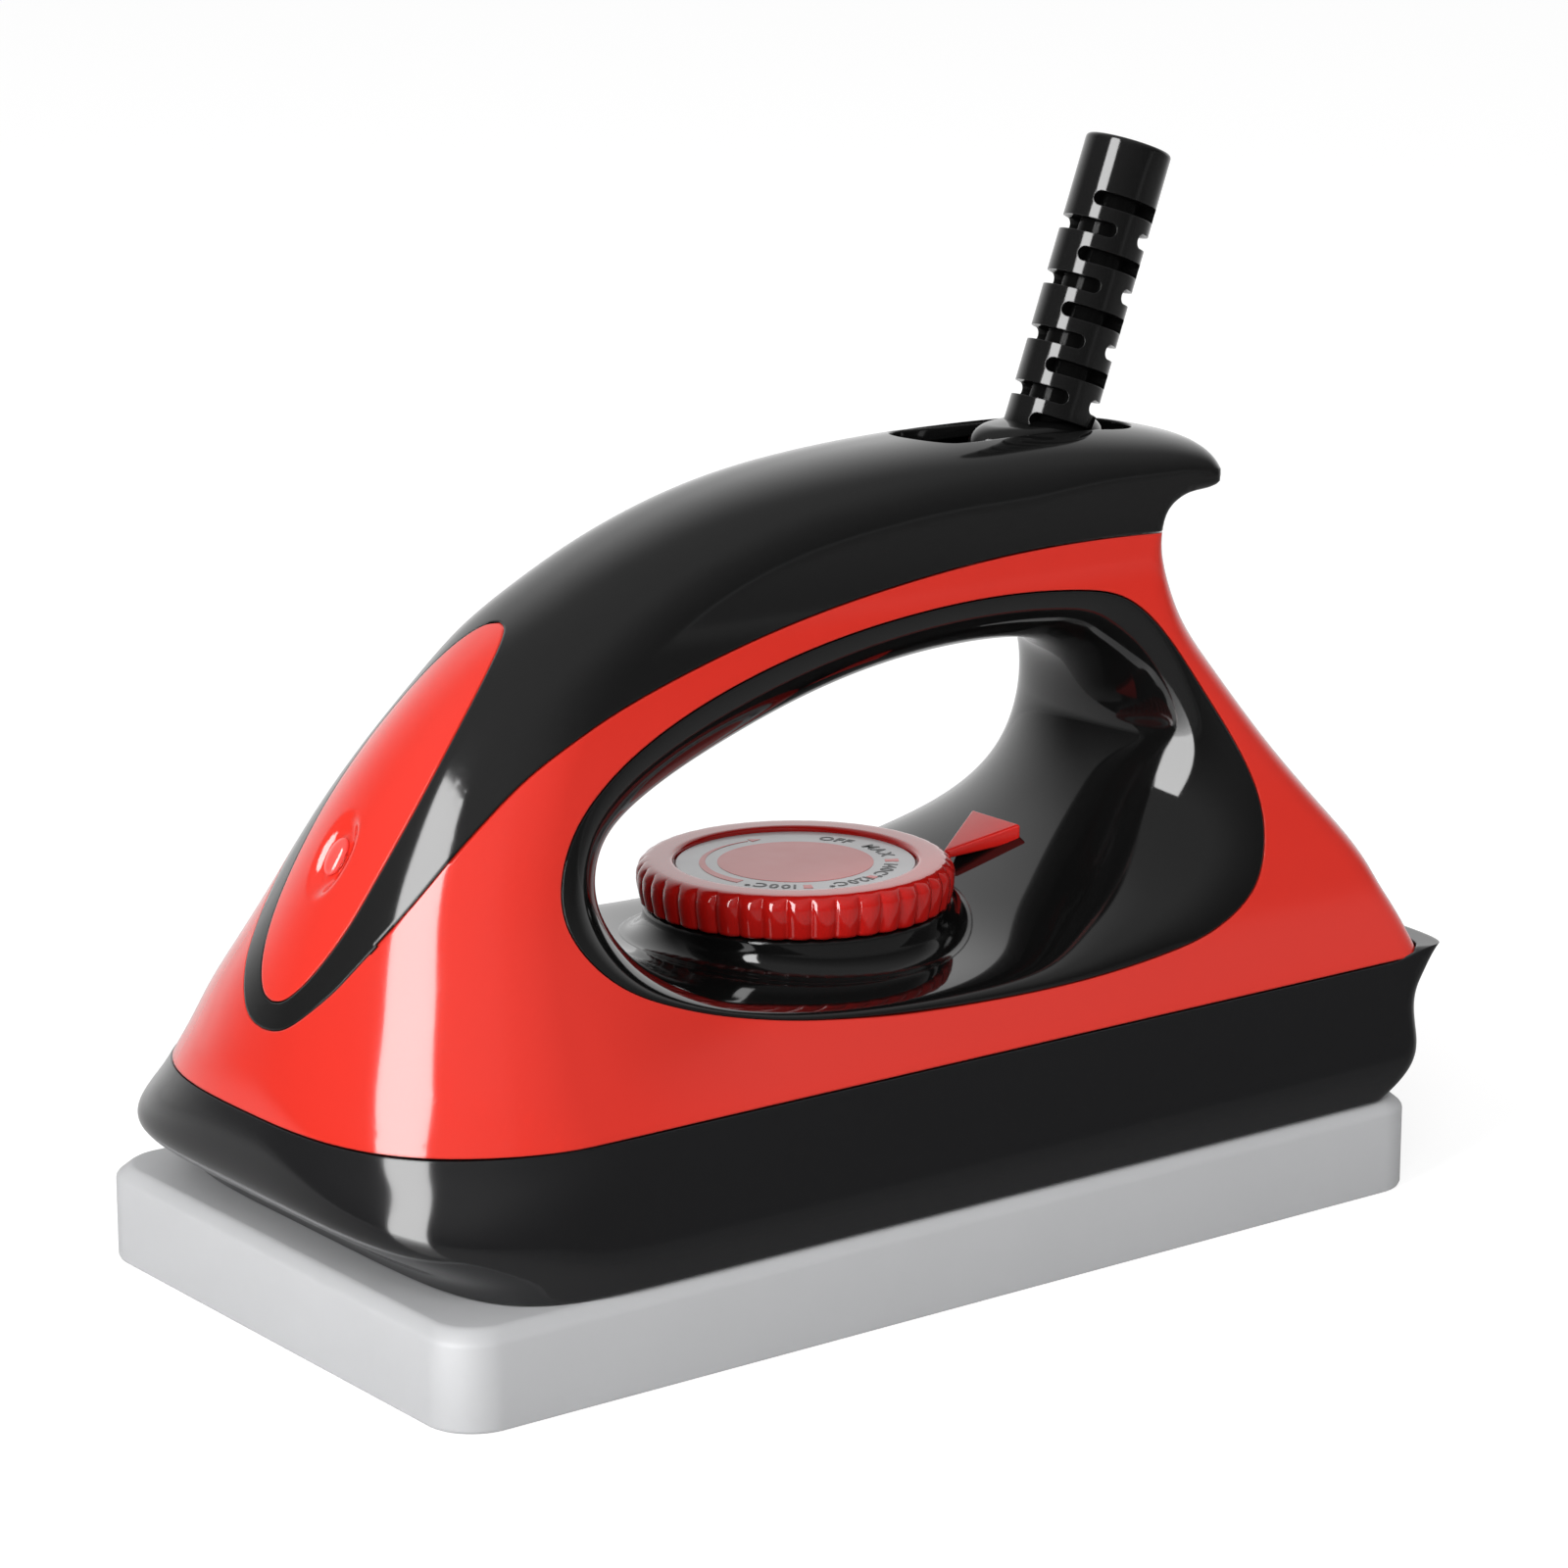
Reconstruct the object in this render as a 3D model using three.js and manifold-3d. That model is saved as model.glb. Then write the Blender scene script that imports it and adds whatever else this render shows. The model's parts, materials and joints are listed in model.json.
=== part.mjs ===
// A waxing iron for skis and snowboards: a thick aluminium sole, a black heat-resistant skirt with a
// standing heel, a red housing with a hand opening, a black handle cover, a thermostat knob on the deck
// inside the opening, and a slotted cord guard that pivots fore and aft in a slot of the handle.
// Millimetres, +Z up, nose towards -Y. The origin is the centre of the sole's underside.
import * as THREE from "three";
import { mergeVertices } from "three/addons/utils/BufferGeometryUtils.js";
import Module from "manifold-3d";

const wasm = await Module();
wasm.setup();

// ---------- driving dimensions ----------
const GAP = 0.3; // clearance between neighbouring pieces
const SOLE = { length: 190, width: 103, height: 15.4, cornerRadius: 8, chamfer: 2 };
const SEAM_Z = 37; // joint line between skirt and housing
const LIP = { rearY: 107.6, halfX: 44.5, cornerRadius: 5, top: 38.3, clearance: 0.7 }; // standing heel
const SKIRT_BOTTOM_Z = SOLE.height + GAP;
const WALL = 2.3; // moulded wall of housing, cover and skirt
const LINER_WALL = 2.2;
const FLANGE = { bottom: 24, top: 27, openingX: 26, openingY: 60 };
const POST = { x: 36, yFront: -68, yRear: 76, radius: 4.5 };
const BOSS = { x: 33, yFront: -50, yRear: 60, radius: 4.2, bore: 1.9, top: 44 };
const DECK_CENTRE_Y = 4.4; // knob, pedestal and thermostat axis
const DECK_Z = 46.8;
const PEDESTAL = { radius: 24.6, flare: 27.5, top: 52.2 };
const KNOB = { radius: 25.5, bottom: PEDESTAL.top + GAP, top: 59.5, flutes: 40, fluteDepth: 0.7 };
const DIAL = { radius: 19.2, thickness: 0.8, recess: 1.1 };
const SHAFT_RADIUS = 3;
const PIVOT = { y: 53.4, z: 117 }; // cord guard's pivot axis runs along X here
const GUARD = { lean: 20.4, length: 54.3, radius: 6.5, ballRadius: 9.6, slotDepth: 2.4, slotHeight: 2.3 };
const GUARD_SLOT_PITCH = 9.3;
const GUARD_FIRST_SLOT = 44.4;
const CORD_RADIUS = 3.1;
const COVER_SLOT = { front: 22, rear: 75, halfWidth: 10.2 };

// Side outline of the housing and cover on the centre plane, from the seam at the nose, over the
// handle, round the tail and down the back: [y, z, rounding length, rounding power].
const SIDE_OUTLINE = [
  [-99, 24, 30, 2.15],
  [-99, 36.8, 30, 2.15],
  [-98.4, 44, 30, 2.1],
  [-96.3, 51.6, 30, 2.1],
  [-92.5, 59, 30, 2.1],
  [-83.5, 73.8, 28, 2.1],
  [-71.2, 90.4, 25, 2.1],
  [-61, 100.1, 23, 2.1],
  [-49, 108.7, 21, 2.1],
  [-34.8, 115.8, 19, 2.1],
  [-20.3, 120.6, 18, 2.1],
  [-5.5, 123.5, 17, 2.1],
  [9.8, 125.2, 17, 2.1],
  [25.5, 125.8, 17, 2.1],
  [40, 126, 17, 2.1],
  [56, 125.5, 16, 2.1],
  [70, 123.5, 15, 2.1],
  [79.9, 120.6, 13, 2.1],
  [86.5, 116.9, 11, 2.1],
  [89.3, 113.6, 9, 2.1],
  [86.5, 111.4, 7, 2.1],
  [78, 110, 6, 2.5],
  [73, 106.5, 7, 3],
  [71.6, 100.4, 8, 3],
  [74.2, 92.7, 9, 3],
  [78.2, 85.5, 9, 3.2],
  [86.5, 71.8, 9, 3.6],
  [94.9, 60.8, 9, 4],
  [99.1, 55.6, 9, 4],
  [102.6, 49.5, 9, 4],
  [104, 44.1, 9, 4],
  [103.9, 36.8, 9, 4],
  [103.9, 24, 9, 4],
];
// Half width of the housing's flanks at each height: [z, half width].
const FLANK = [
  [16, 50.5],
  [27, 48.2],
  [37, 45.5],
  [40, 42.6],
  [43.5, 39],
  [46.4, 36.4],
  [50, 34.6],
  [57, 32],
  [66, 29],
  [75, 25.3],
  [83, 21.8],
  [91, 19],
  [99, 17.2],
  [107, 16.2],
  [115, 15.8],
  [126.5, 15.5],
];
// Hand opening, clockwise from its front: [rim y, rim z, throat y, throat z, section power]. The throat
// is where the liner is narrowest, on the centre plane; the rim is its edge on the housing's flank.
const OPENING = [
  [-60, 66, -43.5, 64, 2],
  [-57, 75, -42.3, 69.5, 2],
  [-49, 82.2, -38, 73, 2],
  [-36, 88.7, -29, 77, 2],
  [-20, 94.2, -17, 81.4, 2],
  [-2, 98.2, -2, 86.2, 2],
  [16, 100.4, 14, 89.6, 2],
  [34, 101, 30, 91, 2],
  [48.4, 100, 43, 90.7, 2.1],
  [58, 97.6, 52, 89, 2.2],
  [65.6, 90.9, 60, 85, 2.4],
  [71, 81.2, 64.5, 78, 2.5],
  [75.5, 70.5, 64, 72, 2.5],
  [77.2, 61, 60.5, 66.5, 2.6],
  [74, 52.5, 54, 61, 3],
  [64.3, 46.8, 45, 57, 3.5],
  [50, 44.4, 35.5, 53.5, 3.5],
  [32, 43.4, 24, 48.2, 3.5],
  [12, 43.5, 8, DECK_Z, 3.5],
  [-10, 44.7, -8, DECK_Z, 3.5],
  [-30, 47.4, -22, 48, 3.2],
  [-46, 52.2, -33, 51, 2.8],
  [-56, 58.6, -41, 57, 2.3],
];
// Joint lines in the side view, as [y, z] points from nose to tail.
const COVER_SEAM = [
  [-104, 50],
  [-96, 50.6],
  [-91.5, 56.2],
  [-81, 67],
  [-66, 80.7],
  [-49.9, 90.1],
  [-33.4, 96.1],
  [-10.6, 101.7],
  [12.7, 105.4],
  [36.7, 107.5],
  [61.4, 107.6],
  [80, 106.6],
];
const LENS_SEAM = [
  [-104, 53.4],
  [-95.2, 54.4],
  [-91.2, 58.9],
  [-82.1, 71.4],
  [-70.9, 85.9],
  [-57.9, 100.6],
  [-50, 109.6],
];
const LAMP = { y: -83.2, z: 74, radius: 3.2 };

// ---------- geometry and solids ----------
const vector = (x, y, z) => new THREE.Vector3(x, y, z);

function solid(geometry) {
  const bare = geometry.index ? geometry.toNonIndexed() : geometry.clone();
  for (const name of Object.keys(bare.attributes)) if (name !== "position") bare.deleteAttribute(name);
  const merged = mergeVertices(bare, 1e-4);
  return new wasm.Manifold(
    new wasm.Mesh({
      numProp: 3,
      vertProperties: merged.attributes.position.array,
      triVerts: new Uint32Array(merged.index.array),
    }),
  );
}

function geometryOf(body) {
  const mesh = body.getMesh();
  const geometry = new THREE.BufferGeometry();
  geometry.setAttribute("position", new THREE.BufferAttribute(new Float32Array(mesh.vertProperties), 3));
  geometry.setIndex(new THREE.BufferAttribute(new Uint32Array(mesh.triVerts), 1));
  geometry.computeVertexNormals();
  return geometry;
}

// The biggest connected body of a solid: crumbs cut off by a seam are dropped.
const mainBody = (body) => body.decompose().sort((a, b) => b.volume() - a.volume())[0];

// A closed mesh from rings with equal point counts, each end closed by a fan about its mean point.
function loft(rings) {
  const count = rings[0].length;
  const points = rings.flat();
  const faces = [];
  for (let r = 0; r + 1 < rings.length; r++)
    for (let i = 0; i < count; i++) {
      const a = r * count + i;
      const b = r * count + ((i + 1) % count);
      faces.push(a, b, b + count, a, b + count, a + count);
    }
  const cap = (start, flip) => {
    const ring = points.slice(start, start + count);
    const centre = ring.reduce((sum, p) => sum.add(p), vector(0, 0, 0)).divideScalar(count);
    points.push(centre);
    for (let i = 0; i < count; i++) {
      const pair = [start + i, start + ((i + 1) % count)];
      faces.push(points.length - 1, ...(flip ? pair.reverse() : pair));
    }
  };
  const last = (rings.length - 1) * count;
  cap(0, true);
  cap(last, false);
  const geometry = new THREE.BufferGeometry().setFromPoints(points);
  geometry.setIndex(faces);
  return geometry;
}

function cylinder(radius, bottom, top, x, y, sides = 16) {
  return new THREE.CylinderGeometry(radius, radius, top - bottom, sides)
    .rotateX(Math.PI / 2)
    .translate(x, y, (top + bottom) / 2);
}

function box(sizeX, sizeY, sizeZ, x, y, z) {
  return new THREE.BoxGeometry(sizeX, sizeY, sizeZ).translate(x, y, z);
}

// Turns a profile of [radius, height] pairs about the vertical line through (x, y).
function lathe(profile, sides, x = 0, y = 0) {
  return new THREE.LatheGeometry(profile.map(([r, h]) => new THREE.Vector2(r, h)), sides)
    .rotateX(Math.PI / 2)
    .translate(x, y, 0);
}

function roundedRectangle(halfX, halfY, radius, centreY = 0) {
  const shape = new THREE.Shape();
  const low = centreY - halfY;
  const high = centreY + halfY;
  shape.moveTo(-halfX + radius, low);
  shape.lineTo(halfX - radius, low);
  shape.absarc(halfX - radius, low + radius, radius, -Math.PI / 2, 0);
  shape.lineTo(halfX, high - radius);
  shape.absarc(halfX - radius, high - radius, radius, 0, Math.PI / 2);
  shape.lineTo(-halfX + radius, high);
  shape.absarc(-halfX + radius, high - radius, radius, Math.PI / 2, Math.PI);
  shape.lineTo(-halfX, low + radius);
  shape.absarc(-halfX + radius, low + radius, radius, Math.PI, 1.5 * Math.PI);
  return shape;
}

function plate(shape, bottom, top, curveSegments = 6) {
  return new THREE.ExtrudeGeometry(shape, {
    depth: top - bottom,
    bevelEnabled: false,
    curveSegments,
  }).translate(0, 0, bottom);
}

// A round bar along a smooth curve through the points.
function bar(points, radius, steps, sides = 8) {
  const circle = new THREE.Shape();
  circle.absarc(0, 0, radius, 0, 2 * Math.PI);
  return new THREE.ExtrudeGeometry(circle, {
    steps,
    bevelEnabled: false,
    curveSegments: sides,
    extrudePath: new THREE.CatmullRomCurve3(points.map((p) => vector(...p))),
  });
}

// Everything on one side of a side-view outline, as a block across the whole width.
function sideBlock(points, halfWidth = 70) {
  const shape = new THREE.Shape(points.map(([y, z]) => new THREE.Vector2(y, z)));
  const geometry = new THREE.ExtrudeGeometry(shape, { depth: 2 * halfWidth, bevelEnabled: false });
  const turn = new THREE.Matrix4().makeBasis(vector(0, 1, 0), vector(0, 0, 1), vector(1, 0, 0));
  return geometry.applyMatrix4(turn).translate(-halfWidth, 0, 0);
}

// ---------- the housing's outer surface ----------
// A smooth curve through rows of numbers, sampled evenly: the first two numbers are a point in the side
// view and the others are carried along.
function sampleRows(rows, count, closed) {
  const at = new THREE.CatmullRomCurve3(rows.map((r) => vector(r[0], r[1], 0)), closed, "centripetal");
  const extra = new THREE.CatmullRomCurve3(rows.map((r) => vector(r[2] ?? 0, r[3] ?? 0, 0)), closed);
  const out = [];
  for (let i = 0; i < (closed ? count : count + 1); i++) {
    const p = at.getPoint(i / count);
    const e = extra.getPoint(i / count);
    out.push([p.x, p.y, e.x, e.y]);
  }
  return out;
}

const outlineSamples = sampleRows(SIDE_OUTLINE, 300, false);

function flank(z) {
  const i = Math.max(1, FLANK.findIndex((row) => row[0] >= z));
  const [z0, w0] = FLANK[i - 1];
  const [z1, w1] = FLANK[i];
  return THREE.MathUtils.mapLinear(THREE.MathUtils.clamp(z, z0, z1), z0, z1, w0, w1);
}

// Half width of the housing at a point of the side view, measured to the surface that lies inset mm
// below the outside. The flank rounds off towards the side outline.
function halfWidth(y, z, inset = 0) {
  let nearest = outlineSamples[0];
  let best = Infinity;
  for (const row of outlineSamples) {
    const distance = (row[0] - y) ** 2 + (row[1] - z) ** 2;
    if (distance < best) [best, nearest] = [distance, row];
  }
  const [, , length, power] = nearest;
  const depth = THREE.MathUtils.clamp((Math.sqrt(best) - inset) / (length - inset), 0, 1);
  return (flank(z) - inset) * (1 - (1 - depth) ** power) ** (1 / power);
}

// Front and back limits of the side outline at a height, inset mm inside it.
function sideLimits(z, inset) {
  const shifted = outlineSamples.map((row, i) => {
    const a = outlineSamples[Math.max(0, i - 1)];
    const b = outlineSamples[Math.min(outlineSamples.length - 1, i + 1)];
    const length = Math.hypot(b[0] - a[0], b[1] - a[1]);
    return [row[0] + (inset * (b[1] - a[1])) / length, row[1] - (inset * (b[0] - a[0])) / length];
  });
  const crossings = [];
  for (let i = 0; i + 1 < shifted.length; i++) {
    const [y0, z0] = shifted[i];
    const [y1, z1] = shifted[i + 1];
    if (z0 <= z === z1 > z) crossings.push(y0 + ((y1 - y0) * (z - z0)) / (z1 - z0));
  }
  return [Math.min(...crossings), Math.max(...crossings)];
}

const FLANK_POINTS = 18; // points from nose to back on each flank
const LEVELS = [
  40.5, 44, 47.5, 53, 60, 68, 76, 84, 91, 97, 103, 107, 110.5, 112, 114.5, 117.5, 120.5, 123, 124.8,
];

function level(z, inset) {
  const [front, back] = sideLimits(z, inset);
  const left = [];
  for (let i = 0; i <= FLANK_POINTS; i++) {
    const y = front + ((back - front) * (1 - Math.cos((Math.PI * i) / FLANK_POINTS))) / 2;
    const x = i === 0 || i === FLANK_POINTS ? 0 : Math.max(0.2, halfWidth(y, z, inset));
    left.push(vector(x, y, z));
  }
  const right = left.slice(1, -1).reverse().map((p) => vector(-p.x, p.y, p.z));
  return [...left, ...right];
}

// The housing's volume from a height up to its ridge, inset mm inside its surface.
function body(bottom, inset = 0) {
  const ridge = 126 - inset;
  const heights = [bottom, ...LEVELS.filter((z) => z > bottom + 1 && z < ridge - 0.8), ridge - 0.3];
  return solid(loft(heights.map((z) => level(z, inset))));
}

// ---------- the hand opening ----------
const OPENING_POINTS = 36;

// The opening as a solid across the whole width. wall is 0 for the liner's visible surface, and the
// liner's thickness for its hidden surface; grow widens the rim and everything outside it.
function openingSolid(wall, grow) {
  const rim = sampleRows(OPENING, OPENING_POINTS, true);
  const throat = sampleRows(OPENING.map((r) => [r[2], r[3], r[4], 0]), OPENING_POINTS, true);
  const sections = rim.map(([rimY, rimZ], i) => {
    const [throatY, throatZ, power] = throat[i];
    const depth = Math.hypot(rimY - throatY, rimZ - throatZ);
    const dir = [(rimY - throatY) / depth, (rimZ - throatZ) / depth];
    return { rimY, rimZ, dir, depth: depth - wall, power, halfX: halfWidth(rimY, rimZ) - wall };
  });
  const ring = (share, side) =>
    sections.map((s) => {
      const inward = s.depth * (1 - Math.min(1, share) ** s.power) ** (1 / s.power);
      const out = share > 1 ? grow : 0;
      const x = share > 1 ? 70 : share * s.halfX;
      const y = s.rimY + s.dir[0] * (out - inward);
      return vector(side * x, y, s.rimZ + s.dir[1] * (out - inward));
    });
  const shares = [1, 0.95, 0.8, 0.5];
  const rings = [
    ring(2, -1),
    ...shares.map((share) => ring(share, -1)),
    ring(0, 1),
    ...shares.reverse().map((share) => ring(share, 1)),
    ring(2, 1),
  ];
  return solid(loft(rings.map((r) => r.reverse())));
}

// The rim's outline as a block across the width, grown by some mm.
function rimBlock(grow) {
  const rim = sampleRows(OPENING, OPENING_POINTS, true);
  const throat = sampleRows(OPENING.map((r) => [r[2], r[3]]), OPENING_POINTS, true);
  const points = rim.map(([y, z], i) => {
    const [ty, tz] = throat[i];
    const depth = Math.hypot(y - ty, z - tz);
    return [y + ((y - ty) * grow) / depth, z + ((z - tz) * grow) / depth];
  });
  return solid(sideBlock(points.reverse()));
}

// ---------- seams as blocks ----------
function shiftedSeam(rows, up) {
  const points = sampleRows(rows, 3 * rows.length, false);
  return points.map(([y, z]) => [y, z + up]);
}

function aboveCoverSeam(up) {
  const line = shiftedSeam(COVER_SEAM, up);
  return solid(sideBlock([...line, [120, line.at(-1)[1]], [120, 150], [-130, 150], [-130, line[0][1]]]));
}

function inFrontOfLensSeam(shift) {
  const line = shiftedSeam(LENS_SEAM, 0).map(([y, z]) => [y - shift * 0.8, z + shift * 0.6]);
  return solid(sideBlock([...line, [-130, line.at(-1)[1]], [-130, line[0][1]]]));
}

// ---------- materials ----------
const finish = (color, roughness, metalness) =>
  new THREE.MeshStandardMaterial({ color, roughness, metalness });
const RED = finish(0xe03228, 0.22, 0);
const KNOB_RED = finish(0xc81410, 0.22, 0);
const BLACK = finish(0x171717, 0.2, 0);
const SKIRT_BLACK = finish(0x1e1e1e, 0.35, 0);
const ALUMINIUM = finish(0xb8babd, 0.42, 0.9);
const STEEL = finish(0x9a9ca0, 0.35, 1);
const BRASS = finish(0xb99a45, 0.35, 1);
const CERAMIC = finish(0xe6e0d2, 0.6, 0);
const SILVER = finish(0xb0b0b2, 0.4, 0.3);
const LAMP_RED = finish(0xd83a30, 0.08, 0);
const GLASS = finish(0xffe8dc, 0.05, 0);
const CABLE_BLACK = finish(0x111111, 0.5, 0);
const WIRE_BLUE = finish(0x2f5fa8, 0.5, 0);
const WIRE_BROWN = finish(0x6b4228, 0.5, 0);
const WIRE_GREEN = finish(0x86a83a, 0.5, 0);

const iron = new THREE.Group();

function place(name, geometry, material, parent = iron) {
  const mesh = new THREE.Mesh(geometry, material);
  mesh.name = name;
  parent.add(mesh);
  return mesh;
}

// ---------- sole plate, heater and what bolts to it ----------
function soleRing(inset, z) {
  const shape = roundedRectangle(
    SOLE.width / 2 - inset,
    SOLE.length / 2 - inset,
    SOLE.cornerRadius - inset / 2,
  );
  const points = shape.getPoints(5).filter((p, i, all) => i === 0 || p.distanceTo(all[i - 1]) > 0.01);
  if (points[0].distanceTo(points.at(-1)) < 0.01) points.pop();
  return points.map((p) => vector(p.x, p.y, z));
}

const HEATER = { radius: 3.5, x: 28, z: 12.4, rearY: 58, bendY: -46, endY: 73, endZ: 20 };

function heaterPath() {
  const { x, z, rearY, bendY, endY, endZ } = HEATER;
  const half = [
    [x, endY, endZ],
    [x, rearY + 8, z + 1.6],
    [x, rearY, z],
    [x, 0, z],
    [x, bendY, z],
    [0.72 * x, bendY - 0.72 * x, z],
  ];
  return [...half, [0, bendY - x, z], ...half.map(([px, y, pz]) => [-px, y, pz]).reverse()];
}

const posts = [
  ["front_left", POST.x, POST.yFront],
  ["front_right", -POST.x, POST.yFront],
  ["rear_left", POST.x, POST.yRear],
  ["rear_right", -POST.x, POST.yRear],
];
const bosses = [
  ["front_left", BOSS.x, BOSS.yFront],
  ["front_right", -BOSS.x, BOSS.yFront],
  ["rear_left", BOSS.x, BOSS.yRear],
  ["rear_right", -BOSS.x, BOSS.yRear],
];
const M4 = 2; // shank radius of the frame screws
const BRACKET = { halfX: 8, reach: 22, screwY: 18, bottom: SOLE.height + GAP, top: SOLE.height + 1.3 };
const FUSE = { x: 14, y: 44, radius: 3 };

function makeSole() {
  const shoulder = SOLE.height - SOLE.chamfer;
  let sole = solid(loft([soleRing(0, 0), soleRing(0, shoulder), soleRing(SOLE.chamfer, SOLE.height)]));
  sole = sole.subtract(solid(bar(heaterPath(), HEATER.radius + GAP, 26, 4)));
  for (const [, x, y] of posts) sole = sole.subtract(solid(cylinder(M4 + GAP, 7, 17, x, y, 10)));
  for (const side of [-1, 1]) {
    const y = DECK_CENTRE_Y + side * BRACKET.screwY;
    sole = sole.subtract(solid(cylinder(1.5 + GAP, 9, 17, 0, y, 8)));
  }
  place("sole_plate", geometryOf(mainBody(sole)), ALUMINIUM);
  place("heating_element", bar(heaterPath(), HEATER.radius, 26, 4), STEEL);
  for (const [side, x] of [["left", HEATER.x], ["right", -HEATER.x]]) {
    const y = HEATER.endY + 3;
    place(`heater_terminal_${side}`, box(6, 1.2, 9, x, y + 1.2, HEATER.endZ + 5.2), BRASS);
  }
}

function screw(name, x, y, headBottom, tip, radius, headRadius, headHeight) {
  const profile = [
    [0, tip],
    [radius, tip],
    [radius, headBottom],
    [headRadius, headBottom],
    [headRadius, headBottom + headHeight],
    [0, headBottom + headHeight],
  ];
  place(name, lathe(profile, 12, x, y), STEEL);
}

function makeFasteners() {
  for (const [corner, x, y] of posts) {
    const profile = [
      [M4 + GAP, SOLE.height + GAP],
      [POST.radius, SOLE.height + GAP],
      [POST.radius, FLANGE.bottom - 2 * GAP - 0.8],
      [M4 + GAP, FLANGE.bottom - 2 * GAP - 0.8],
      [M4 + GAP, SOLE.height + GAP],
    ];
    place(`spacer_${corner}`, lathe(profile, 12, x, y), CERAMIC);
    screw(`base_screw_${corner}`, x, y, FLANGE.top + GAP, 7.5, M4, 3.6, 2.6);
  }
  for (const [corner, x, y] of bosses) {
    const profile = [
      [0, FLANGE.bottom - GAP - 2.2],
      [3.2, FLANGE.bottom - GAP - 2.2],
      [3.2, FLANGE.bottom - GAP],
      [1.6, FLANGE.bottom - GAP],
      [1.6, 38],
      [0, 38],
    ];
    place(`housing_screw_${corner}`, lathe(profile, 12, x, y), STEEL);
  }
}

function makeHeatShield() {
  const bottom = FLANGE.bottom - GAP - 0.8;
  let shield = solid(plate(roundedRectangle(44, 80, 10, 2), bottom, bottom + 0.8));
  const hole = (radius, x, y, sides) => solid(cylinder(radius, bottom - 1, bottom + 2, x, y, sides));
  for (const [, x, y] of posts) shield = shield.subtract(hole(M4 + GAP, x, y, 10));
  for (const [, x, y] of bosses) shield = shield.subtract(hole(BOSS.radius + 0.2, x, y, 10));
  for (const x of [-HEATER.x, HEATER.x]) {
    shield = shield.subtract(solid(box(11, 16, 4, x, HEATER.endY, bottom)));
  }
  shield = shield.subtract(hole(21, 0, DECK_CENTRE_Y, 20));
  shield = shield.subtract(solid(box(16, 12, 4, 0, 60, bottom)));
  shield = shield.subtract(solid(box(12, 18, 4, FUSE.x, FUSE.y, bottom)));
  place("heat_shield", geometryOf(mainBody(shield)), STEEL);
}

// ---------- thermostat ----------
function makeThermostat() {
  const y = DECK_CENTRE_Y;
  const thickness = BRACKET.top - BRACKET.bottom;
  const bracketZ = BRACKET.bottom + thickness / 2;
  let bracket = solid(box(2 * BRACKET.halfX, 2 * BRACKET.reach, thickness, 0, y, bracketZ));
  for (const side of [-1, 1]) {
    const screwY = y + side * BRACKET.screwY;
    bracket = bracket.subtract(solid(cylinder(1.5 + GAP, 15, 18, 0, screwY, 8)));
    const end = side < 0 ? "front" : "rear";
    screw(`thermostat_screw_${end}`, 0, screwY, BRACKET.top + GAP, 9.4, 1.5, 2.8, 1.8);
  }
  place("thermostat_bracket", geometryOf(bracket), STEEL);
  const bodyBottom = BRACKET.top + GAP;
  place("thermostat_body", cylinder(11, bodyBottom, 30, 0, y, 20), CERAMIC);
  const strip = solid(box(6, 26, 0.9, 14.6, y, 21)).add(solid(box(6, 4, 4.6, 14.6, y - 11, 18.4)));
  place("bimetal_strip", geometryOf(strip), BRASS);
  const spring = solid(box(6, 22, 0.6, 14.6, y, 26)).add(solid(cylinder(1.4, 23, 26, 14.6, y + 8, 10)));
  place("contact_spring", geometryOf(spring), BRASS);
  const bushing = [
    [SHAFT_RADIUS + GAP, 30.3],
    [6, 30.3],
    [6, 32],
    [4.6, 32],
    [4.6, 38],
    [SHAFT_RADIUS + GAP, 38],
    [SHAFT_RADIUS + GAP, 30.3],
  ];
  place("thermostat_bushing", lathe(bushing, 16, 0, y), BRASS);
  place("thermostat_shaft", cylinder(SHAFT_RADIUS, 30.6, 56, 0, y, 16), STEEL);
}

function makeFuse() {
  const { x, y, radius } = FUSE;
  const strapZ = SOLE.height + GAP;
  const barrel = new THREE.CylinderGeometry(radius, radius, 14, 12).translate(x, y, strapZ + radius);
  place("thermal_fuse", barrel, STEEL);
  const strap = solid(box(12, 3, 2 * radius + 1.6, x, y, strapZ + radius + 0.8))
    .subtract(solid(box(2 * radius + 2 * GAP, 4, 2 * radius + 2 * GAP, x, y, strapZ + radius)));
  place("fuse_clip", geometryOf(strap), BRASS);
}

// ---------- skirt ----------
// Sections of the skirt: [z, nose y, nose length, nose power, rear y, rear length, rear power].
const SKIRT_SECTIONS = [
  [SKIRT_BOTTOM_Z, -87, 9, 3, 93.5, 9, 3],
  [18.2, -88.6, 10, 3, 98, 9, 3],
  [21, -94, 13, 2.8, 101, 9, 3],
  [25, -99, 20, 2.5, 101.6, 8, 3],
  [30, -100, 25, 2.3, 102, 8, 3.2],
  [34, -99.8, 28, 2.2, 104, 7, 3.6],
  [SEAM_Z - GAP / 2, -99, 30, 2.15, LIP.rearY - 0.2, 6, 4],
];

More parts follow.
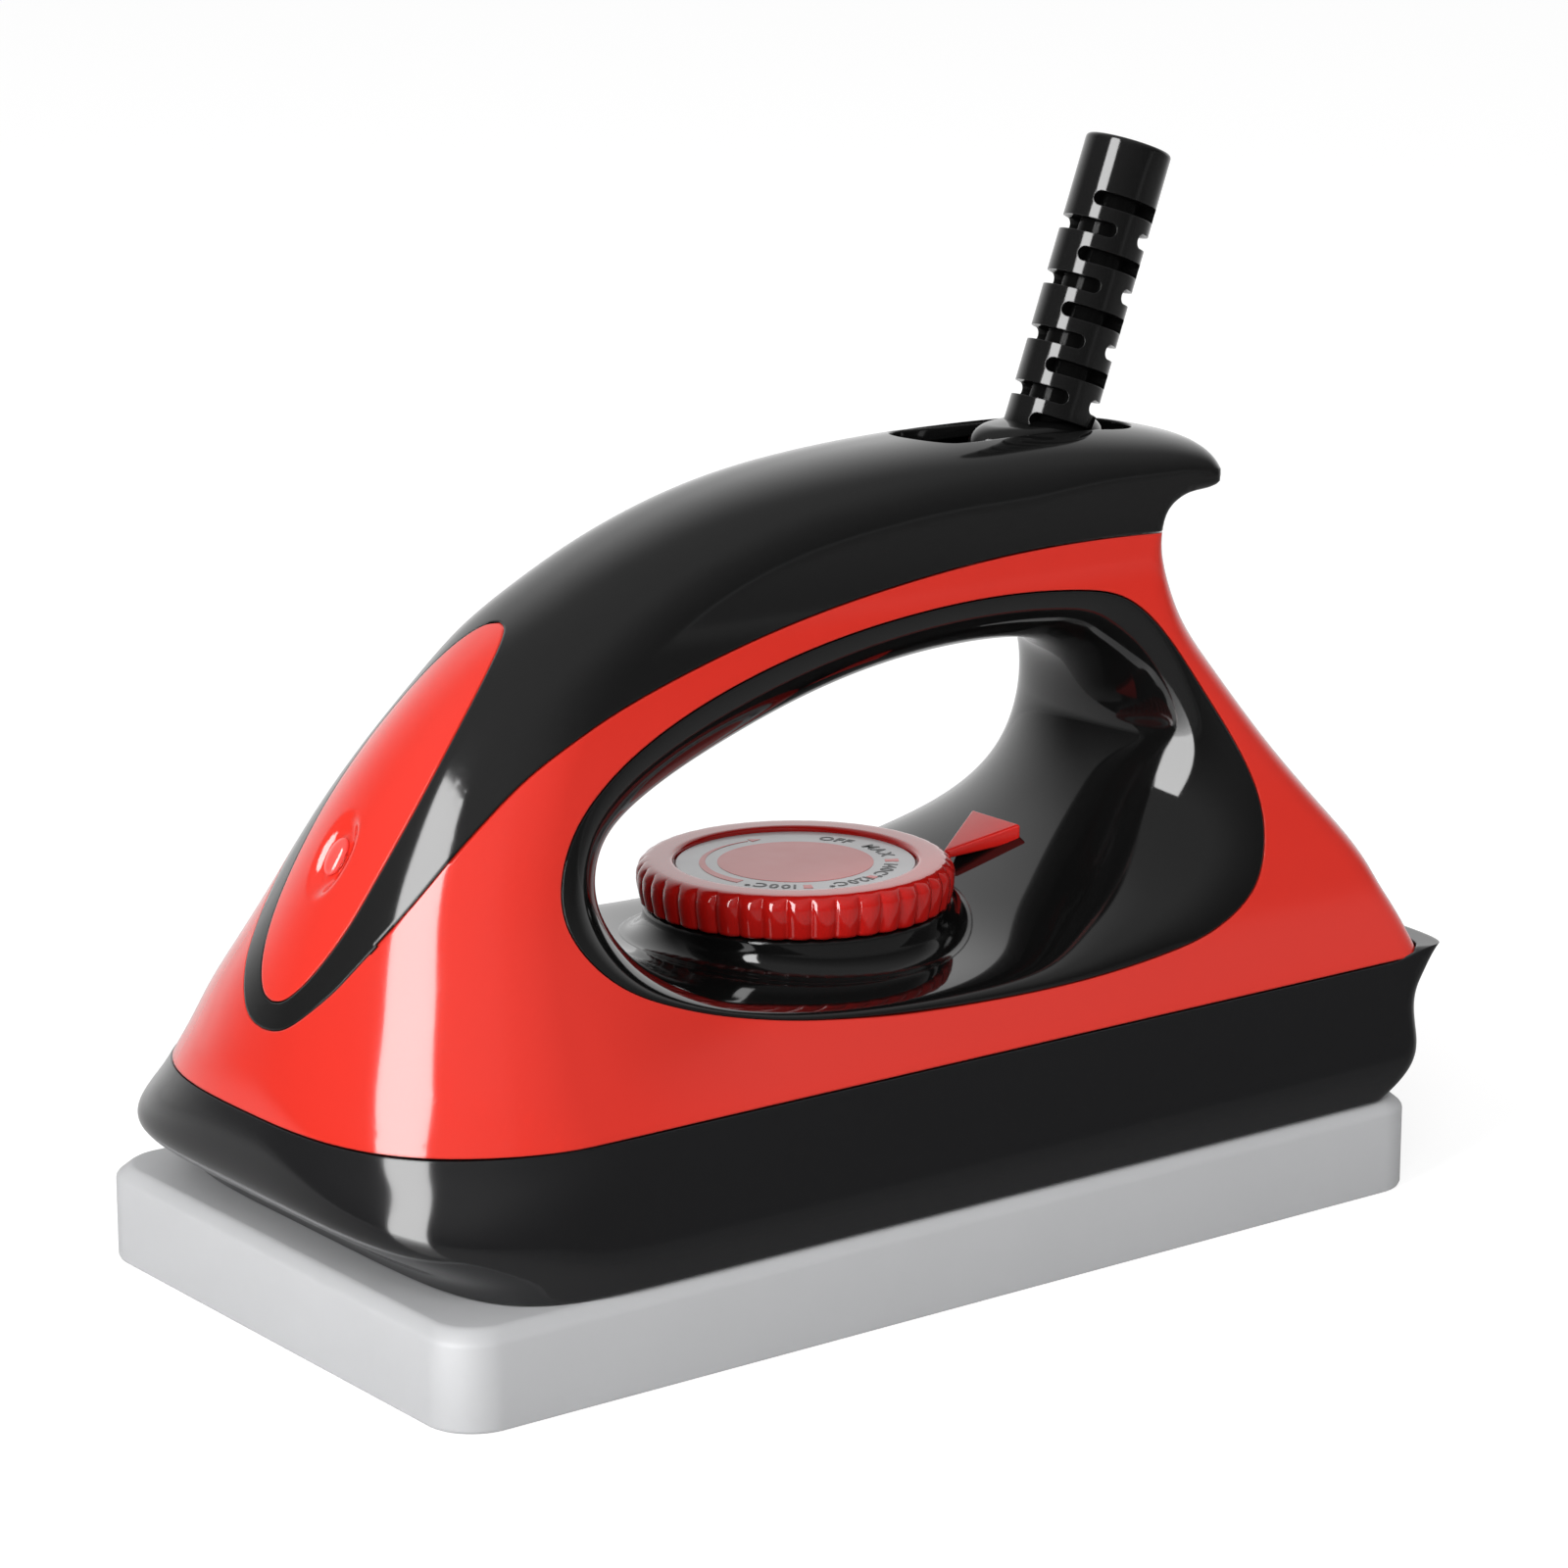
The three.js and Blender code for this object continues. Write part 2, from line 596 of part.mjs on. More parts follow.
function skirtRing([z, front, noseLength, nosePower, rear, rearLength, rearPower], inset) {
  const low = front + inset;
  const high = rear - inset;
  const left = [];
  for (let i = 0; i <= FLANK_POINTS; i++) {
    const y = low + ((high - low) * (1 - Math.cos((Math.PI * i) / FLANK_POINTS))) / 2;
    const nose = THREE.MathUtils.clamp((y - low) / (noseLength - inset), 0, 1);
    const tail = THREE.MathUtils.clamp((high - y) / (rearLength - inset), 0, 1);
    const noseRound = (1 - (1 - nose) ** nosePower) ** (1 / nosePower);
    const rearRound = (1 - (1 - tail) ** rearPower) ** (1 / rearPower);
    const x = i === 0 || i === FLANK_POINTS ? 0 : (flank(z) - inset) * noseRound * rearRound;
    left.push(vector(x, y, z));
  }
  const right = left.slice(1, -1).reverse().map((p) => vector(-p.x, p.y, p.z));
  return [...left, ...right];
}

function makeSkirt() {
  const outer = solid(loft(SKIRT_SECTIONS.map((s) => skirtRing(s, 0))));
  const core = SKIRT_SECTIONS.map((s) => skirtRing(s, WALL));
  core[0].forEach((p) => (p.z -= 1));
  core.at(-1).forEach((p) => (p.z += 1));
  let skirt = outer.subtract(solid(loft(core)));
  const flangeHeight = FLANGE.top - FLANGE.bottom;
  const flangeBlock = solid(box(120, 220, flangeHeight, 0, 0, FLANGE.bottom + flangeHeight / 2));
  const within = solid(loft(SKIRT_SECTIONS.map((s) => skirtRing(s, WALL / 2))));
  const window = roundedRectangle(FLANGE.openingX, FLANGE.openingY, 8, DECK_CENTRE_Y);
  const flange = flangeBlock.intersect(within).subtract(solid(plate(window, 20, 30, 4)));
  skirt = skirt.add(flange);
  for (const [, x, y] of posts) skirt = skirt.subtract(solid(cylinder(M4 + GAP, 20, 30, x, y, 10)));
  for (const [, x, y] of bosses) skirt = skirt.subtract(solid(cylinder(BOSS.bore, 20, 30, x, y, 10)));
  const lipBottom = SEAM_Z - GAP / 2 - 0.4;
  const lipPlan = roundedRectangle(LIP.halfX, 20, LIP.cornerRadius, LIP.rearY - 20);
  const lip = solid(plate(lipPlan, lipBottom, LIP.top)).subtract(body(lipBottom - 0.2, -LIP.clearance));
  skirt = skirt.add(lip);
  for (const x of [-HEATER.x, HEATER.x]) skirt = skirt.subtract(solid(box(9, 14, 8, x, HEATER.endY + 1, 25)));
  place("base_skirt", geometryOf(mainBody(skirt)), SKIRT_BLACK);
}

// ---------- housing, cover, lens and liner ----------
function makeHousing() {
  const outside = body(SEAM_Z + GAP / 2);
  const hollow = body(SEAM_Z - 4, WALL);
  const shell = outside.subtract(hollow);
  const opening = openingSolid(0, 0);

  let housing = shell.subtract(aboveCoverSeam(-GAP / 2)).subtract(rimBlock(GAP));
  for (const [, x, y] of bosses) {
    const boss = solid(cylinder(BOSS.radius, FLANGE.top + GAP, BOSS.top, x, y, 12));
    const inside = body(FLANGE.top - 2, 0.6);
    const bore = solid(cylinder(BOSS.bore, FLANGE.top - 2, 39, x, y, 10));
    housing = housing.add(boss.intersect(inside)).subtract(bore);
  }
  housing = housing.subtract(rimBlock(GAP));
  place("body_shell", geometryOf(mainBody(housing)), RED);

  let cover = shell.intersect(aboveCoverSeam(GAP / 2)).subtract(inFrontOfLensSeam(-GAP));
  cover = cover.subtract(rimBlock(GAP));
  const slotHalfLength = (COVER_SLOT.rear - COVER_SLOT.front) / 2;
  const slotCentreY = (COVER_SLOT.rear + COVER_SLOT.front) / 2;
  const slot = roundedRectangle(COVER_SLOT.halfWidth, slotHalfLength, 10, slotCentreY);
  cover = cover.subtract(solid(plate(slot, 118, 140, 5)));
  place("handle_cover", geometryOf(mainBody(cover)), BLACK);

  const lens = outside.subtract(body(SEAM_Z - 4, 1.6)).intersect(inFrontOfLensSeam(0));
  const dimple = solid(lampDisc(LAMP.radius + GAP, -4, 4));
  place("indicator_lens", geometryOf(mainBody(lens.subtract(dimple))), LAMP_RED);

  const linerBlock = openingSolid(LINER_WALL, 0);
  let liner = linerBlock.subtract(opening).intersect(body(SEAM_Z + GAP)).intersect(rimBlock(0));
  const pedestal = [
    [0, DECK_Z - 2],
    [PEDESTAL.flare, DECK_Z - 2],
    [PEDESTAL.flare - 0.6, DECK_Z + 0.6],
    [PEDESTAL.radius + 0.6, DECK_Z + 2.4],
    [PEDESTAL.radius, PEDESTAL.top],
    [0, PEDESTAL.top],
  ];
  liner = liner.add(solid(lathe(pedestal, 32, 0, DECK_CENTRE_Y)));
  liner = liner.subtract(solid(cylinder(SHAFT_RADIUS + 2 * GAP, 38, 60, 0, DECK_CENTRE_Y, 16)));
  place("opening_liner", geometryOf(mainBody(liner)), BLACK);
}

// A disc square to the nose at the indicator lamp, from depth to height along the outward direction.
function lampDisc(radius, depth, height) {
  const out = Math.atan2(0.5, -0.86); // direction of the nose's outward normal in the side view
  return new THREE.CylinderGeometry(radius, radius, height - depth, 16)
    .translate(0, (height + depth) / 2, 0)
    .rotateX(out)
    .translate(0, LAMP.y, LAMP.z);
}

function makeLamp() {
  place("lamp_lens", lampDisc(LAMP.radius, -1.4, 0.9), LAMP_RED);
  place("neon_lamp", lampDisc(2.4, -13, -2), GLASS);
}

// ---------- knob, dial and pointer ----------
function makeKnob() {
  const shape = new THREE.Shape();
  const steps = 4 * KNOB.flutes;
  for (let i = 0; i <= steps; i++) {
    const angle = (2 * Math.PI * i) / steps;
    const wave = Math.abs(Math.cos((KNOB.flutes * angle) / 2));
    const r = KNOB.radius - KNOB.fluteDepth * (1 - wave);
    if (i === 0) shape.moveTo(r, 0);
    else if (i < steps) shape.lineTo(r * Math.cos(angle), r * Math.sin(angle));
  }
  const recessFloor = KNOB.top - DIAL.recess - DIAL.thickness;
  let knob = solid(plate(shape, KNOB.bottom, KNOB.top).translate(0, DECK_CENTRE_Y, 0));
  const dome = [
    [0, KNOB.bottom - 1],
    [KNOB.radius + 1, KNOB.bottom - 1],
    [KNOB.radius + 1, KNOB.top - 2.2],
    [KNOB.radius - 1.6, KNOB.top],
    [0, KNOB.top],
  ];
  knob = knob.intersect(solid(lathe(dome, 32, 0, DECK_CENTRE_Y)));
  knob = knob.subtract(solid(cylinder(DIAL.radius + GAP, recessFloor, 62, 0, DECK_CENTRE_Y, 32)));
  knob = knob.subtract(solid(cylinder(SHAFT_RADIUS + GAP, 50, 56.3, 0, DECK_CENTRE_Y, 16)));
  place("knob", geometryOf(mainBody(knob)), KNOB_RED);
  const discBottom = recessFloor + GAP;
  const disc = cylinder(DIAL.radius, discBottom, discBottom + DIAL.thickness, 0, DECK_CENTRE_Y, 32);
  place("dial_disc", disc, SILVER);
}

function makePointer() {
  const apex = { y: 35, z: 54.2 };
  const base = { y: 46, z: 58.6, halfX: 6, thickness: 2.6 };
  const points = [
    [0, apex.y, apex.z],
    [base.halfX, base.y, base.z],
    [-base.halfX, base.y, base.z],
  ];
  const top = points.map(([x, y, z]) => vector(x, y - 0.35 * base.thickness, z + base.thickness));
  const bottom = points.map(([x, y, z]) => vector(x, y, z + 0.4));
  place("dial_pointer", loft([bottom, top]), KNOB_RED);
}

// ---------- cord guard ----------
function makeCordGuard() {
  const group = new THREE.Group();
  group.position.set(0, PIVOT.y, PIVOT.z);
  group.rotation.x = -THREE.MathUtils.degToRad(GUARD.lean);
  iron.add(group);
  const profile = [[CORD_RADIUS + GAP, -8.4]];
  for (let i = 0; i <= 7; i++) {
    const angle = THREE.MathUtils.degToRad(-58 + (i * 105) / 7);
    profile.push([GUARD.ballRadius * Math.cos(angle), GUARD.ballRadius * Math.sin(angle)]);
  }
  profile.push([GUARD.radius, 8.6], [GUARD.radius, GUARD.length]);
  profile.push([CORD_RADIUS + GAP, GUARD.length], profile[0]);
  let guard = solid(lathe(profile, 20));
  const cutter = (x, y, z) => {
    const sizeX = x ? 6 : 14;
    const sizeY = y ? 6 : 14;
    const offset = GUARD.radius - GUARD.slotDepth + 3;
    return solid(box(sizeX, sizeY, GUARD.slotHeight, x * offset, y * offset, z));
  };
  for (let row = 0; row < 9; row++) {
    const z = GUARD_FIRST_SLOT - (row * GUARD_SLOT_PITCH) / 2;
    if (z < 10) break;
    for (const side of [-1, 1]) guard = guard.subtract(row % 2 ? cutter(0, side, z) : cutter(side, 0, z));
  }
  place("cord_guard", geometryOf(mainBody(guard)), BLACK, group);
  place("guard_cord_end", cylinder(CORD_RADIUS, -9.4, GUARD.length - 1.5, 0, 0, 12), CABLE_BLACK, group);
}

// ---------- wiring ----------
const WIRE_RADIUS = 1.2;
const LAMP_WIRE_RADIUS = 1;
const BLOCK = { y: 84, bottom: FLANGE.top + GAP, width: 22, depth: 14, height: 11 };

function makeWiring() {
  const cord = [
    [0, 54, 104],
    [0, 58.5, 99.8],
    [0, 64.5, 95],
    [0, 69.6, 88],
    [0, 73, 80],
    [0, 78.5, 71],
    [0, 84, 62],
    [0, 88, 54],
    [0, 89, 46],
  ];
  place("power_cord", bar(cord, CORD_RADIUS, 22, 5), CABLE_BLACK);
  const blockZ = BLOCK.bottom + BLOCK.height / 2;
  place("terminal_block", box(BLOCK.width, BLOCK.depth, BLOCK.height, 0, BLOCK.y, blockZ), CERAMIC);
  const blockTop = BLOCK.bottom + BLOCK.height;
  for (const [name, x] of [["live", 6], ["neutral", -6]]) {
    screw(`terminal_screw_${name}`, x, BLOCK.y, blockTop + GAP, blockTop + 0.2, 1.6, 2.4, 1.6);
  }
  const wireZ = BLOCK.bottom + 4;
  const frontY = BLOCK.y - BLOCK.depth / 2 - GAP;
  const heaterX = HEATER.x - 4;
  const heaterWire = [
    [-7, frontY - 1, wireZ],
    [-12, frontY - 6, 33],
    [-20, 73, 33],
    [-heaterX, 76, 31.5],
  ];
  const thermostatWire = [
    [5, frontY - 1, wireZ],
    [8, 66, 34],
    [8, 45, 34],
    [4, 22, 33],
    [2, 17, 28],
  ];
  const earthWire = [
    [0, frontY - 1, wireZ],
    [0, 68, 32],
    [0, 60, 27],
    [0, 57, 17],
  ];
  const lampWire = [
    [-4, -8.5, 26],
    [-6, -20, 32],
    [-6, -44, 38],
    [-4, -62, 52],
    [-1, -70, 62],
    [0, -71.2, 66],
  ];
  place("wire_heater", bar(heaterWire, WIRE_RADIUS, 12, 3), WIRE_BLUE);
  place("wire_thermostat", bar(thermostatWire, WIRE_RADIUS, 16, 3), WIRE_BROWN);
  place("wire_earth", bar(earthWire, WIRE_RADIUS, 12, 3), WIRE_GREEN);
  place("wire_lamp", bar(lampWire, LAMP_WIRE_RADIUS, 16, 3), WIRE_BROWN);
}

function makeCordClamp() {
  const ring = solid(box(13, 7.6, 5, 0, 73, 79.5)).subtract(
    solid(bar([[0, 69.6, 88], [0, 73, 80], [0, 78.5, 71]], CORD_RADIUS + GAP, 6, 5)),
  );
  place("cord_clamp", geometryOf(mainBody(ring)), SKIRT_BLACK);
}

makeSole();
makeHeatShield();
makeFasteners();
makeThermostat();
makeFuse();
makeSkirt();
makeHousing();
makeLamp();
makeKnob();
makePointer();
makeCordGuard();
makeWiring();
makeCordClamp();

export default iron;
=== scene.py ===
import json
import math

import bpy
import numpy as np
import openvdb
from mathutils import Matrix, Vector
from mathutils.bvhtree import BVHTree


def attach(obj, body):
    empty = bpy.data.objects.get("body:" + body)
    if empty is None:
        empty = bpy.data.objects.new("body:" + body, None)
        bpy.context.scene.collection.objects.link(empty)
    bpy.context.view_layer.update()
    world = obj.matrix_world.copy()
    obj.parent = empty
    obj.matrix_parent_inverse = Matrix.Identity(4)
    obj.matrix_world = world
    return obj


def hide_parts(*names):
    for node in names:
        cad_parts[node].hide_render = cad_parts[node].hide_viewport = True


# A waxing iron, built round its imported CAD. The CAD gives the bodies and the joints; every outer piece is
# rebuilt here at fine resolution, in millimetres, and scaled to metres when it is finished.
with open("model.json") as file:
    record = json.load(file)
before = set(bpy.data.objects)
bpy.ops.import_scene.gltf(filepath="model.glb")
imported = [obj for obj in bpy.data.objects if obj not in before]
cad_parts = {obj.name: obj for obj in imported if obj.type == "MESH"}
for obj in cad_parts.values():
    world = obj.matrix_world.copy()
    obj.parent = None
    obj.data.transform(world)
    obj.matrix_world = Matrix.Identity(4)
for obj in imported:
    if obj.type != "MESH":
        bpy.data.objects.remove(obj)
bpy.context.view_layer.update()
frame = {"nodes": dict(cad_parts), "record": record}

# ---------- dimensions, in millimetres ----------
MM = 0.001
GAP = 0.3
SEAM_Z = 37.0
WALL = 2.3
LINER_WALL = 2.2
DECK_CENTRE_Y = 4.4
DECK_Z = 46.8
SOLE = {"length": 190.0, "width": 103.0, "height": 15.4, "corner": 8.0, "chamfer": 1.9}
PEDESTAL = {"radius": 24.5, "fillet": 3.8, "rise": 3.4, "top": 52.2}
KNOB = {"radius": 25.5, "bottom": 52.5, "top": 59.5, "flutes": 40, "groove": 0.85}
DIAL = {"radius": 19.2, "centre": 12.5, "top": 58.7, "bottom": 57.9}
PIVOT = Vector((0.0, 53.4, 117.0))
GUARD = {"lean": 20.4, "length": 54.8, "radius": 7.15, "ball": 8.8, "floor": 4.3, "slot": 2.4}
GUARD_PITCH = 9.3
GUARD_FIRST = 44.4
GUARD_TURN = math.radians(-7)
CORD_RADIUS = 3.1
SLOT = {"front": 25.0, "rear": 71.4, "half": 7.5, "lip": 0.5}
SLOT_TRAY = {"y": 43.0, "half_x": 12.5, "half_y": 25.0, "corner": 5.0, "low": 98.0, "high": 99.0}
FOOT = {"half_x": 7.1, "half_y": 13.4, "low": 116.0, "top": 125.0, "round": 4.2}
TRAY_HOLE = {"y": 60.5, "radius": 5.5}
LAMP = {"y": -81.9, "z": 73.7, "half_x": 4.3, "half_z": 7.7, "dip": 1.15, "rise": 0.75}
LAMP_BUMP = {"half_x": 2.0, "half_z": 3.1, "half_y": 1.0, "sunk": 0.75}
LETTER = {"size": 3.1, "radius": 14.25, "bold": 0.055, "space": 0.14}
# Each of the dial's texts and its degrees clockwise from the pointer.
DIAL_TEXT = (("MAX", 10), ("140C\u00b0", 58), ("120C\u00b0", 93), ("100C\u00b0", 142), ("OFF", 333))
# The direction in which the room is white, behind the iron as the photo shows it.
FAR_SIDE = (-0.797, 0.604, 0.0)
# The height where the skirt's inside ends and its lip starts to lift.
SKIRT_CEILING = 33.0
# Heights over the nose, and how far the cover's front view stays inside its side view there.
COVER_TRIM = ((57.0, 0.1), (60.0, 0.2), (63.0, 0.2), (66.0, 0.2), (69.0, 0.2))

# Side outline on the centre plane, from the seam at the nose, over the handle, round the tail and down
# the back: y, z, and how far in and with what power the flank rounds off towards it.
SIDE_OUTLINE = [
    (-98.4, 24, 45, 2.94),
    (-98.4, 36.8, 45, 2.94),
    (-96.6, 44, 36, 2.5),
    (-93.8, 51.3, 30, 2.3),
    (-90.3, 58.8, 26.5, 2.15),
    (-81.9, 73.7, 22, 2.1),
    (-69.6, 90, 17.5, 2.1),
    (-60, 99, 14.5, 2.15),
    (-52.4, 104.6, 12.7, 2.3),
    (-43.5, 109.8, 12, 2.3),
    (-32.5, 115, 12, 2.35),
    (-20.3, 119.4, 12, 2.35),
    (-5.5, 122.8, 11.8, 2.4),
    (9.8, 124.6, 11.5, 2.4),
    (25.5, 125.3, 11.2, 2.5),
    (40, 125.4, 11, 2.5),
    (56, 124.8, 9, 2.5),
    (68, 123.5, 7.5, 2.5),
    (76.5, 121.8, 6, 2.5),
    (81.2, 119.8, 5.5, 2.4),
    (83.2, 116.4, 4.6, 2.4),
    (81.6, 113.4, 2.8, 2.5),
    (77, 112.2, 2, 2.6),
    (72.4, 111.6, 2, 2.8),
    (70, 109.9, 2.6, 3),
    (69.8, 106.6, 5, 3),
    (71.3, 100, 7.5, 3),
    (74.2, 92.7, 9, 3),
    (78.2, 85.5, 9, 3.2),
    (86.5, 71.8, 9, 3.6),
    (94.9, 60.8, 9, 4),
    (99.1, 55.6, 9, 4),
    (102.6, 49.5, 9, 4),
    (104, 44.1, 9, 4),
    (103.9, 36.8, 9, 4),
    (103.9, 24, 9, 4),
]
# Half width of the flanks at each height.
FLANK = [
    (30, 50.5),
    (37, 45.5),
    (40, 42.6),
    (43.5, 39),
    (46.4, 36.4),
    (50, 34.6),
    (57, 32),
    (66, 29),
    (75, 25.3),
    (83, 21.8),
    (91, 19),
    (99, 17.2),
    (107, 16.2),
    (115, 15.8),
    (126.5, 15.5),
]
NOSE_FLANK = [
    (30, 49.3),
    (37, 45.5),
    (46, 40.4),
    (56, 34.6),
    (66, 29),
    (75, 25.1),
    (83, 21.8),
    (91, 19),
    (99, 17.2),
    (107, 16.2),
    (115, 15.8),
    (126.5, 15.5),
]
# Hand opening from its front over the top: rim y, rim z, throat y, throat z, section power.
OPENING = [
    (-59.8, 65.5, -43.5, 64, 2),
    (-57, 74.6, -42.3, 69.5, 2),
    (-48.5, 82.4, -38, 73, 2),
    (-36, 88.8, -29, 77, 2),
    (-20, 94.2, -17, 81.4, 2),
    (-2, 98.2, -2, 86.2, 2),
    (16, 100.4, 14, 89.6, 2),
    (34, 101, 30, 91, 2),
    (48.4, 100, 43, 90.7, 2),
    (58.5, 97.4, 52, 89, 2),
    (65.6, 90.9, 59, 85, 2),
    (71, 81.2, 63, 78.5, 2),
    (75.5, 70.5, 63, 72.2, 2),
    (77, 60.5, 59.5, 66.6, 2.05),
    (73.4, 52, 53.3, 61.6, 2.15),
    (64.3, 46.8, 44.6, 57, 2.35),
    (50, 44.4, 34.8, 52.6, 2.6),
    (32, 43.4, 23, 48.4, 2.9),
    (12, 43.5, 8, DECK_Z, 3.1),
    (-10, 44.7, -8, DECK_Z, 3.1),
    (-30, 47.4, -22, 48, 2.8),
    (-46, 52.3, -33, 51, 2.4),
    (-55.6, 57.9, -41, 57, 2.1),
]
# The cover's seam: half width and height over the nose, then the side view from there to the tail.
COVER_NOSE = [
    (0, 49.1),
    (2.9, 49.4),
    (5.5, 50.3),
    (7.8, 51.9),
    (10, 54),
]
COVER_SEAM = [
    (-91.9, 53.9),
    (-88.7, 58.1),
    (-85, 62.6),
    (-81, 67.1),
    (-76.5, 71.9),
    (-71.6, 76.7),
    (-66.6, 80.9),
    (-61.4, 84.7),
    (-56.1, 87.8),
    (-50.7, 90.3),
    (-45, 92.5),
    (-33.5, 96.1),
    (-22.1, 99.1),
    (-10.6, 101.7),
    (12.7, 105.4),
    (36.6, 107.5),
    (61.3, 107.6),
    (80, 106.6),
]
COVER_MEET = 62.0
# The indicator lens: half width and height, seen from the front.
LENS_OUTLINE = [
    (0, 53.1),
    (2.4, 53.6),
    (4.4, 55),
    (6.3, 57.2),
    (8.1, 60.5),
    (9.5, 64.6),
    (10.4, 71),
    (10.6, 78.5),
    (9.9, 86),
    (8.4, 93),
    (5.9, 100),
    (4, 102.9),
    (2, 104.4),
    (0, 104.8),
]
# Skirt sections: z, half width, nose y, nose length, nose power, rear y, rear length, rear power.
SKIRT_SECTIONS = [
    (15.7, 50.3, -86.6, 40, 5, 93.5, 9, 3),
    (18.2, 50.1, -88.6, 39.5, 4.9, 98, 9, 3),
    (21, 49.7, -93.0, 39, 4.6, 101, 9, 3),
    (25, 48.7, -98.6, 38.5, 4.1, 101.6, 8, 3),
    (30, 47.4, -100.1, 41, 3.5, 102, 8, 3.2),
    (34, 46.3, -99.3, 44, 3.1, 104, 7, 3.6),
    (36.85, 45.5, -98.4, 45, 2.94, 107.4, 6, 4),
]
LIP = {"top": 38.3, "start": 93.0, "run": 10.0, "clearance": 0.5}


# ---------- curves ----------
def natural(knots, values, closed=False):
    """A cubic curve with continuous curvature through values at knots, as a function of the knot."""
    knots = np.asarray(knots, float)
    values = np.asarray(values, float).reshape(len(knots), -1)
    n = len(knots)
    h = np.diff(knots)
    slope = np.diff(values, axis=0) / h[:, None]
    matrix = np.eye(n)
    right = np.zeros_like(values)
    for i in range(1, n - 1):
        matrix[i, i - 1 : i + 2] = h[i - 1], 2 * (h[i - 1] + h[i]), h[i]
        right[i] = 6 * (slope[i] - slope[i - 1])
    if closed:
        matrix[0, :] = 0
        matrix[0, 0] = 2 * (h[-1] + h[0])
        matrix[0, 1] = h[0]
        matrix[0, -2] = h[-1]
        right[0] = 6 * (slope[0] - slope[-1])
        matrix[-1, :] = 0
        matrix[-1, 0] = 1
        matrix[-1, -1] = -1
    bend = np.linalg.solve(matrix, right)

    def at(t):
        t = np.atleast_1d(np.asarray(t, float))
        i = np.clip(np.searchsorted(knots, t, side="right") - 1, 0, n - 2)
        a = (knots[i + 1] - t)[:, None]
        b = (t - knots[i])[:, None]
        w = h[i][:, None]
        cubic = (bend[i] * a**3 + bend[i + 1] * b**3) / (6 * w)
        line = (values[i] / w - bend[i] * w / 6) * a + (values[i + 1] / w - bend[i + 1] * w / 6) * b
        return cubic + line

    return at


def trace(rows, count, closed=False):
    """Rows sampled evenly along the smooth curve through them; the first two columns are its points."""
    rows = np.asarray(rows, float)
    if closed:
        rows = np.vstack([rows, rows[:1]])
    chord = np.hypot(*np.diff(rows[:, :2], axis=0).T)
    knots = np.concatenate([[0], np.cumsum(chord)])
    at = natural(knots, rows, closed)
    return at(np.linspace(0, knots[-1], count, endpoint=not closed))


def full_turn(count):
    return np.linspace(0, 2 * math.pi, count, endpoint=False)


def moved_aside(line, along, distance):
    """A line moved to the right of its own direction."""
    along = along / np.linalg.norm(along, axis=1, keepdims=True)
    return line + distance * np.column_stack([along[:, 1], -along[:, 0]])


def smooth_step(t):
    t = np.clip(t, 0, 1)
    return t * t * (3 - 2 * t)


# ---------- the housing's skin ----------
outline = trace(SIDE_OUTLINE, 1400)
tail_tip = int(np.argmax(np.where(outline[:, 1] > 108, outline[:, 0], -1e9)))
# Under the tail the top line carries on down and away, clear of the back, so that it bounds the top alone.
AWAY = [(0, -6), (6, -16), (60, -90)]
beyond = [(*(outline[tail_tip, :2] + step), *outline[tail_tip, 2:]) for step in AWAY]
TOP_LINE = np.vstack([outline[: tail_tip + 1], beyond])
BACK_LINE = outline[tail_tip:]
flank_at = natural([row[0] for row in FLANK], [row[1] for row in FLANK])
nose_flank_at = natural([row[0] for row in NOSE_FLANK], [row[1] for row in NOSE_FLANK])
NOSE_FLANK_START = -28.0
NOSE_FLANK_RUN = 34.0
TAIL_BLEND = 0.08


def flank(y, z):
    """Half width of the flanks: flared over the seam along the sides, straight towards the nose."""
    z = np.clip(np.asarray(z, float), 30, 126.5)
    side = flank_at(z.ravel())[:, 0].reshape(z.shape)
    nose = nose_flank_at(z.ravel())[:, 0].reshape(z.shape)
    share = smooth_step((NOSE_FLANK_START - np.asarray(y, float)) / NOSE_FLANK_RUN)
    return side + (nose - side) * share


def outline_share(y, z, line, inset):
    """1 on an outline and 0 where the flank's rounding towards it ends, with the rounding's power there."""
    y = y.ravel()
    z = z.ravel()
    share = np.zeros(len(y))
    power = np.zeros(len(y))
    start = line[:-1]
    step = line[1:, :2] - line[:-1, :2]
    size = (step**2).sum(1)
    for low in range(0, len(y), 4000):
        part = slice(low, low + 4000)
        dy = y[part, None] - start[None, :, 0]
        dz = z[part, None] - start[None, :, 1]
        i = np.argmin(dy**2 + dz**2, axis=1)
        best = np.full(len(i), 1e18)
        signed = np.zeros(len(i))
        rows = np.zeros((len(i), 2))
        for j in (np.maximum(i - 1, 0), i):
            k = np.arange(len(j))
            t = np.clip((dy[k, j] * step[j, 0] + dz[k, j] * step[j, 1]) / size[j], 0, 1)
            ey = dy[k, j] - t * step[j, 0]
            ez = dz[k, j] - t * step[j, 1]
            d = ey**2 + ez**2
            closer = d < best
            side = np.sign(dy[k, j] * step[j, 1] - dz[k, j] * step[j, 0])
            best = np.where(closer, d, best)
            signed = np.where(closer, np.sqrt(d) * side, signed)
            mixed = line[j, 2:] * (1 - t[:, None]) + line[j + 1, 2:] * t[:, None]
            rows = np.where(closer[:, None], mixed, rows)
        share[part] = 1 - (signed - inset) / (rows[:, 0] - inset)
        power[part] = rows[:, 1]
    return np.maximum(share, 0), power


def shares(y, z, inset):
    shape = np.shape(y)
    fields = [*outline_share(y, z, TOP_LINE, inset), *outline_share(y, z, BACK_LINE, inset)]
    return [f.reshape(shape) for f in fields] + [flank(y, z) - inset]


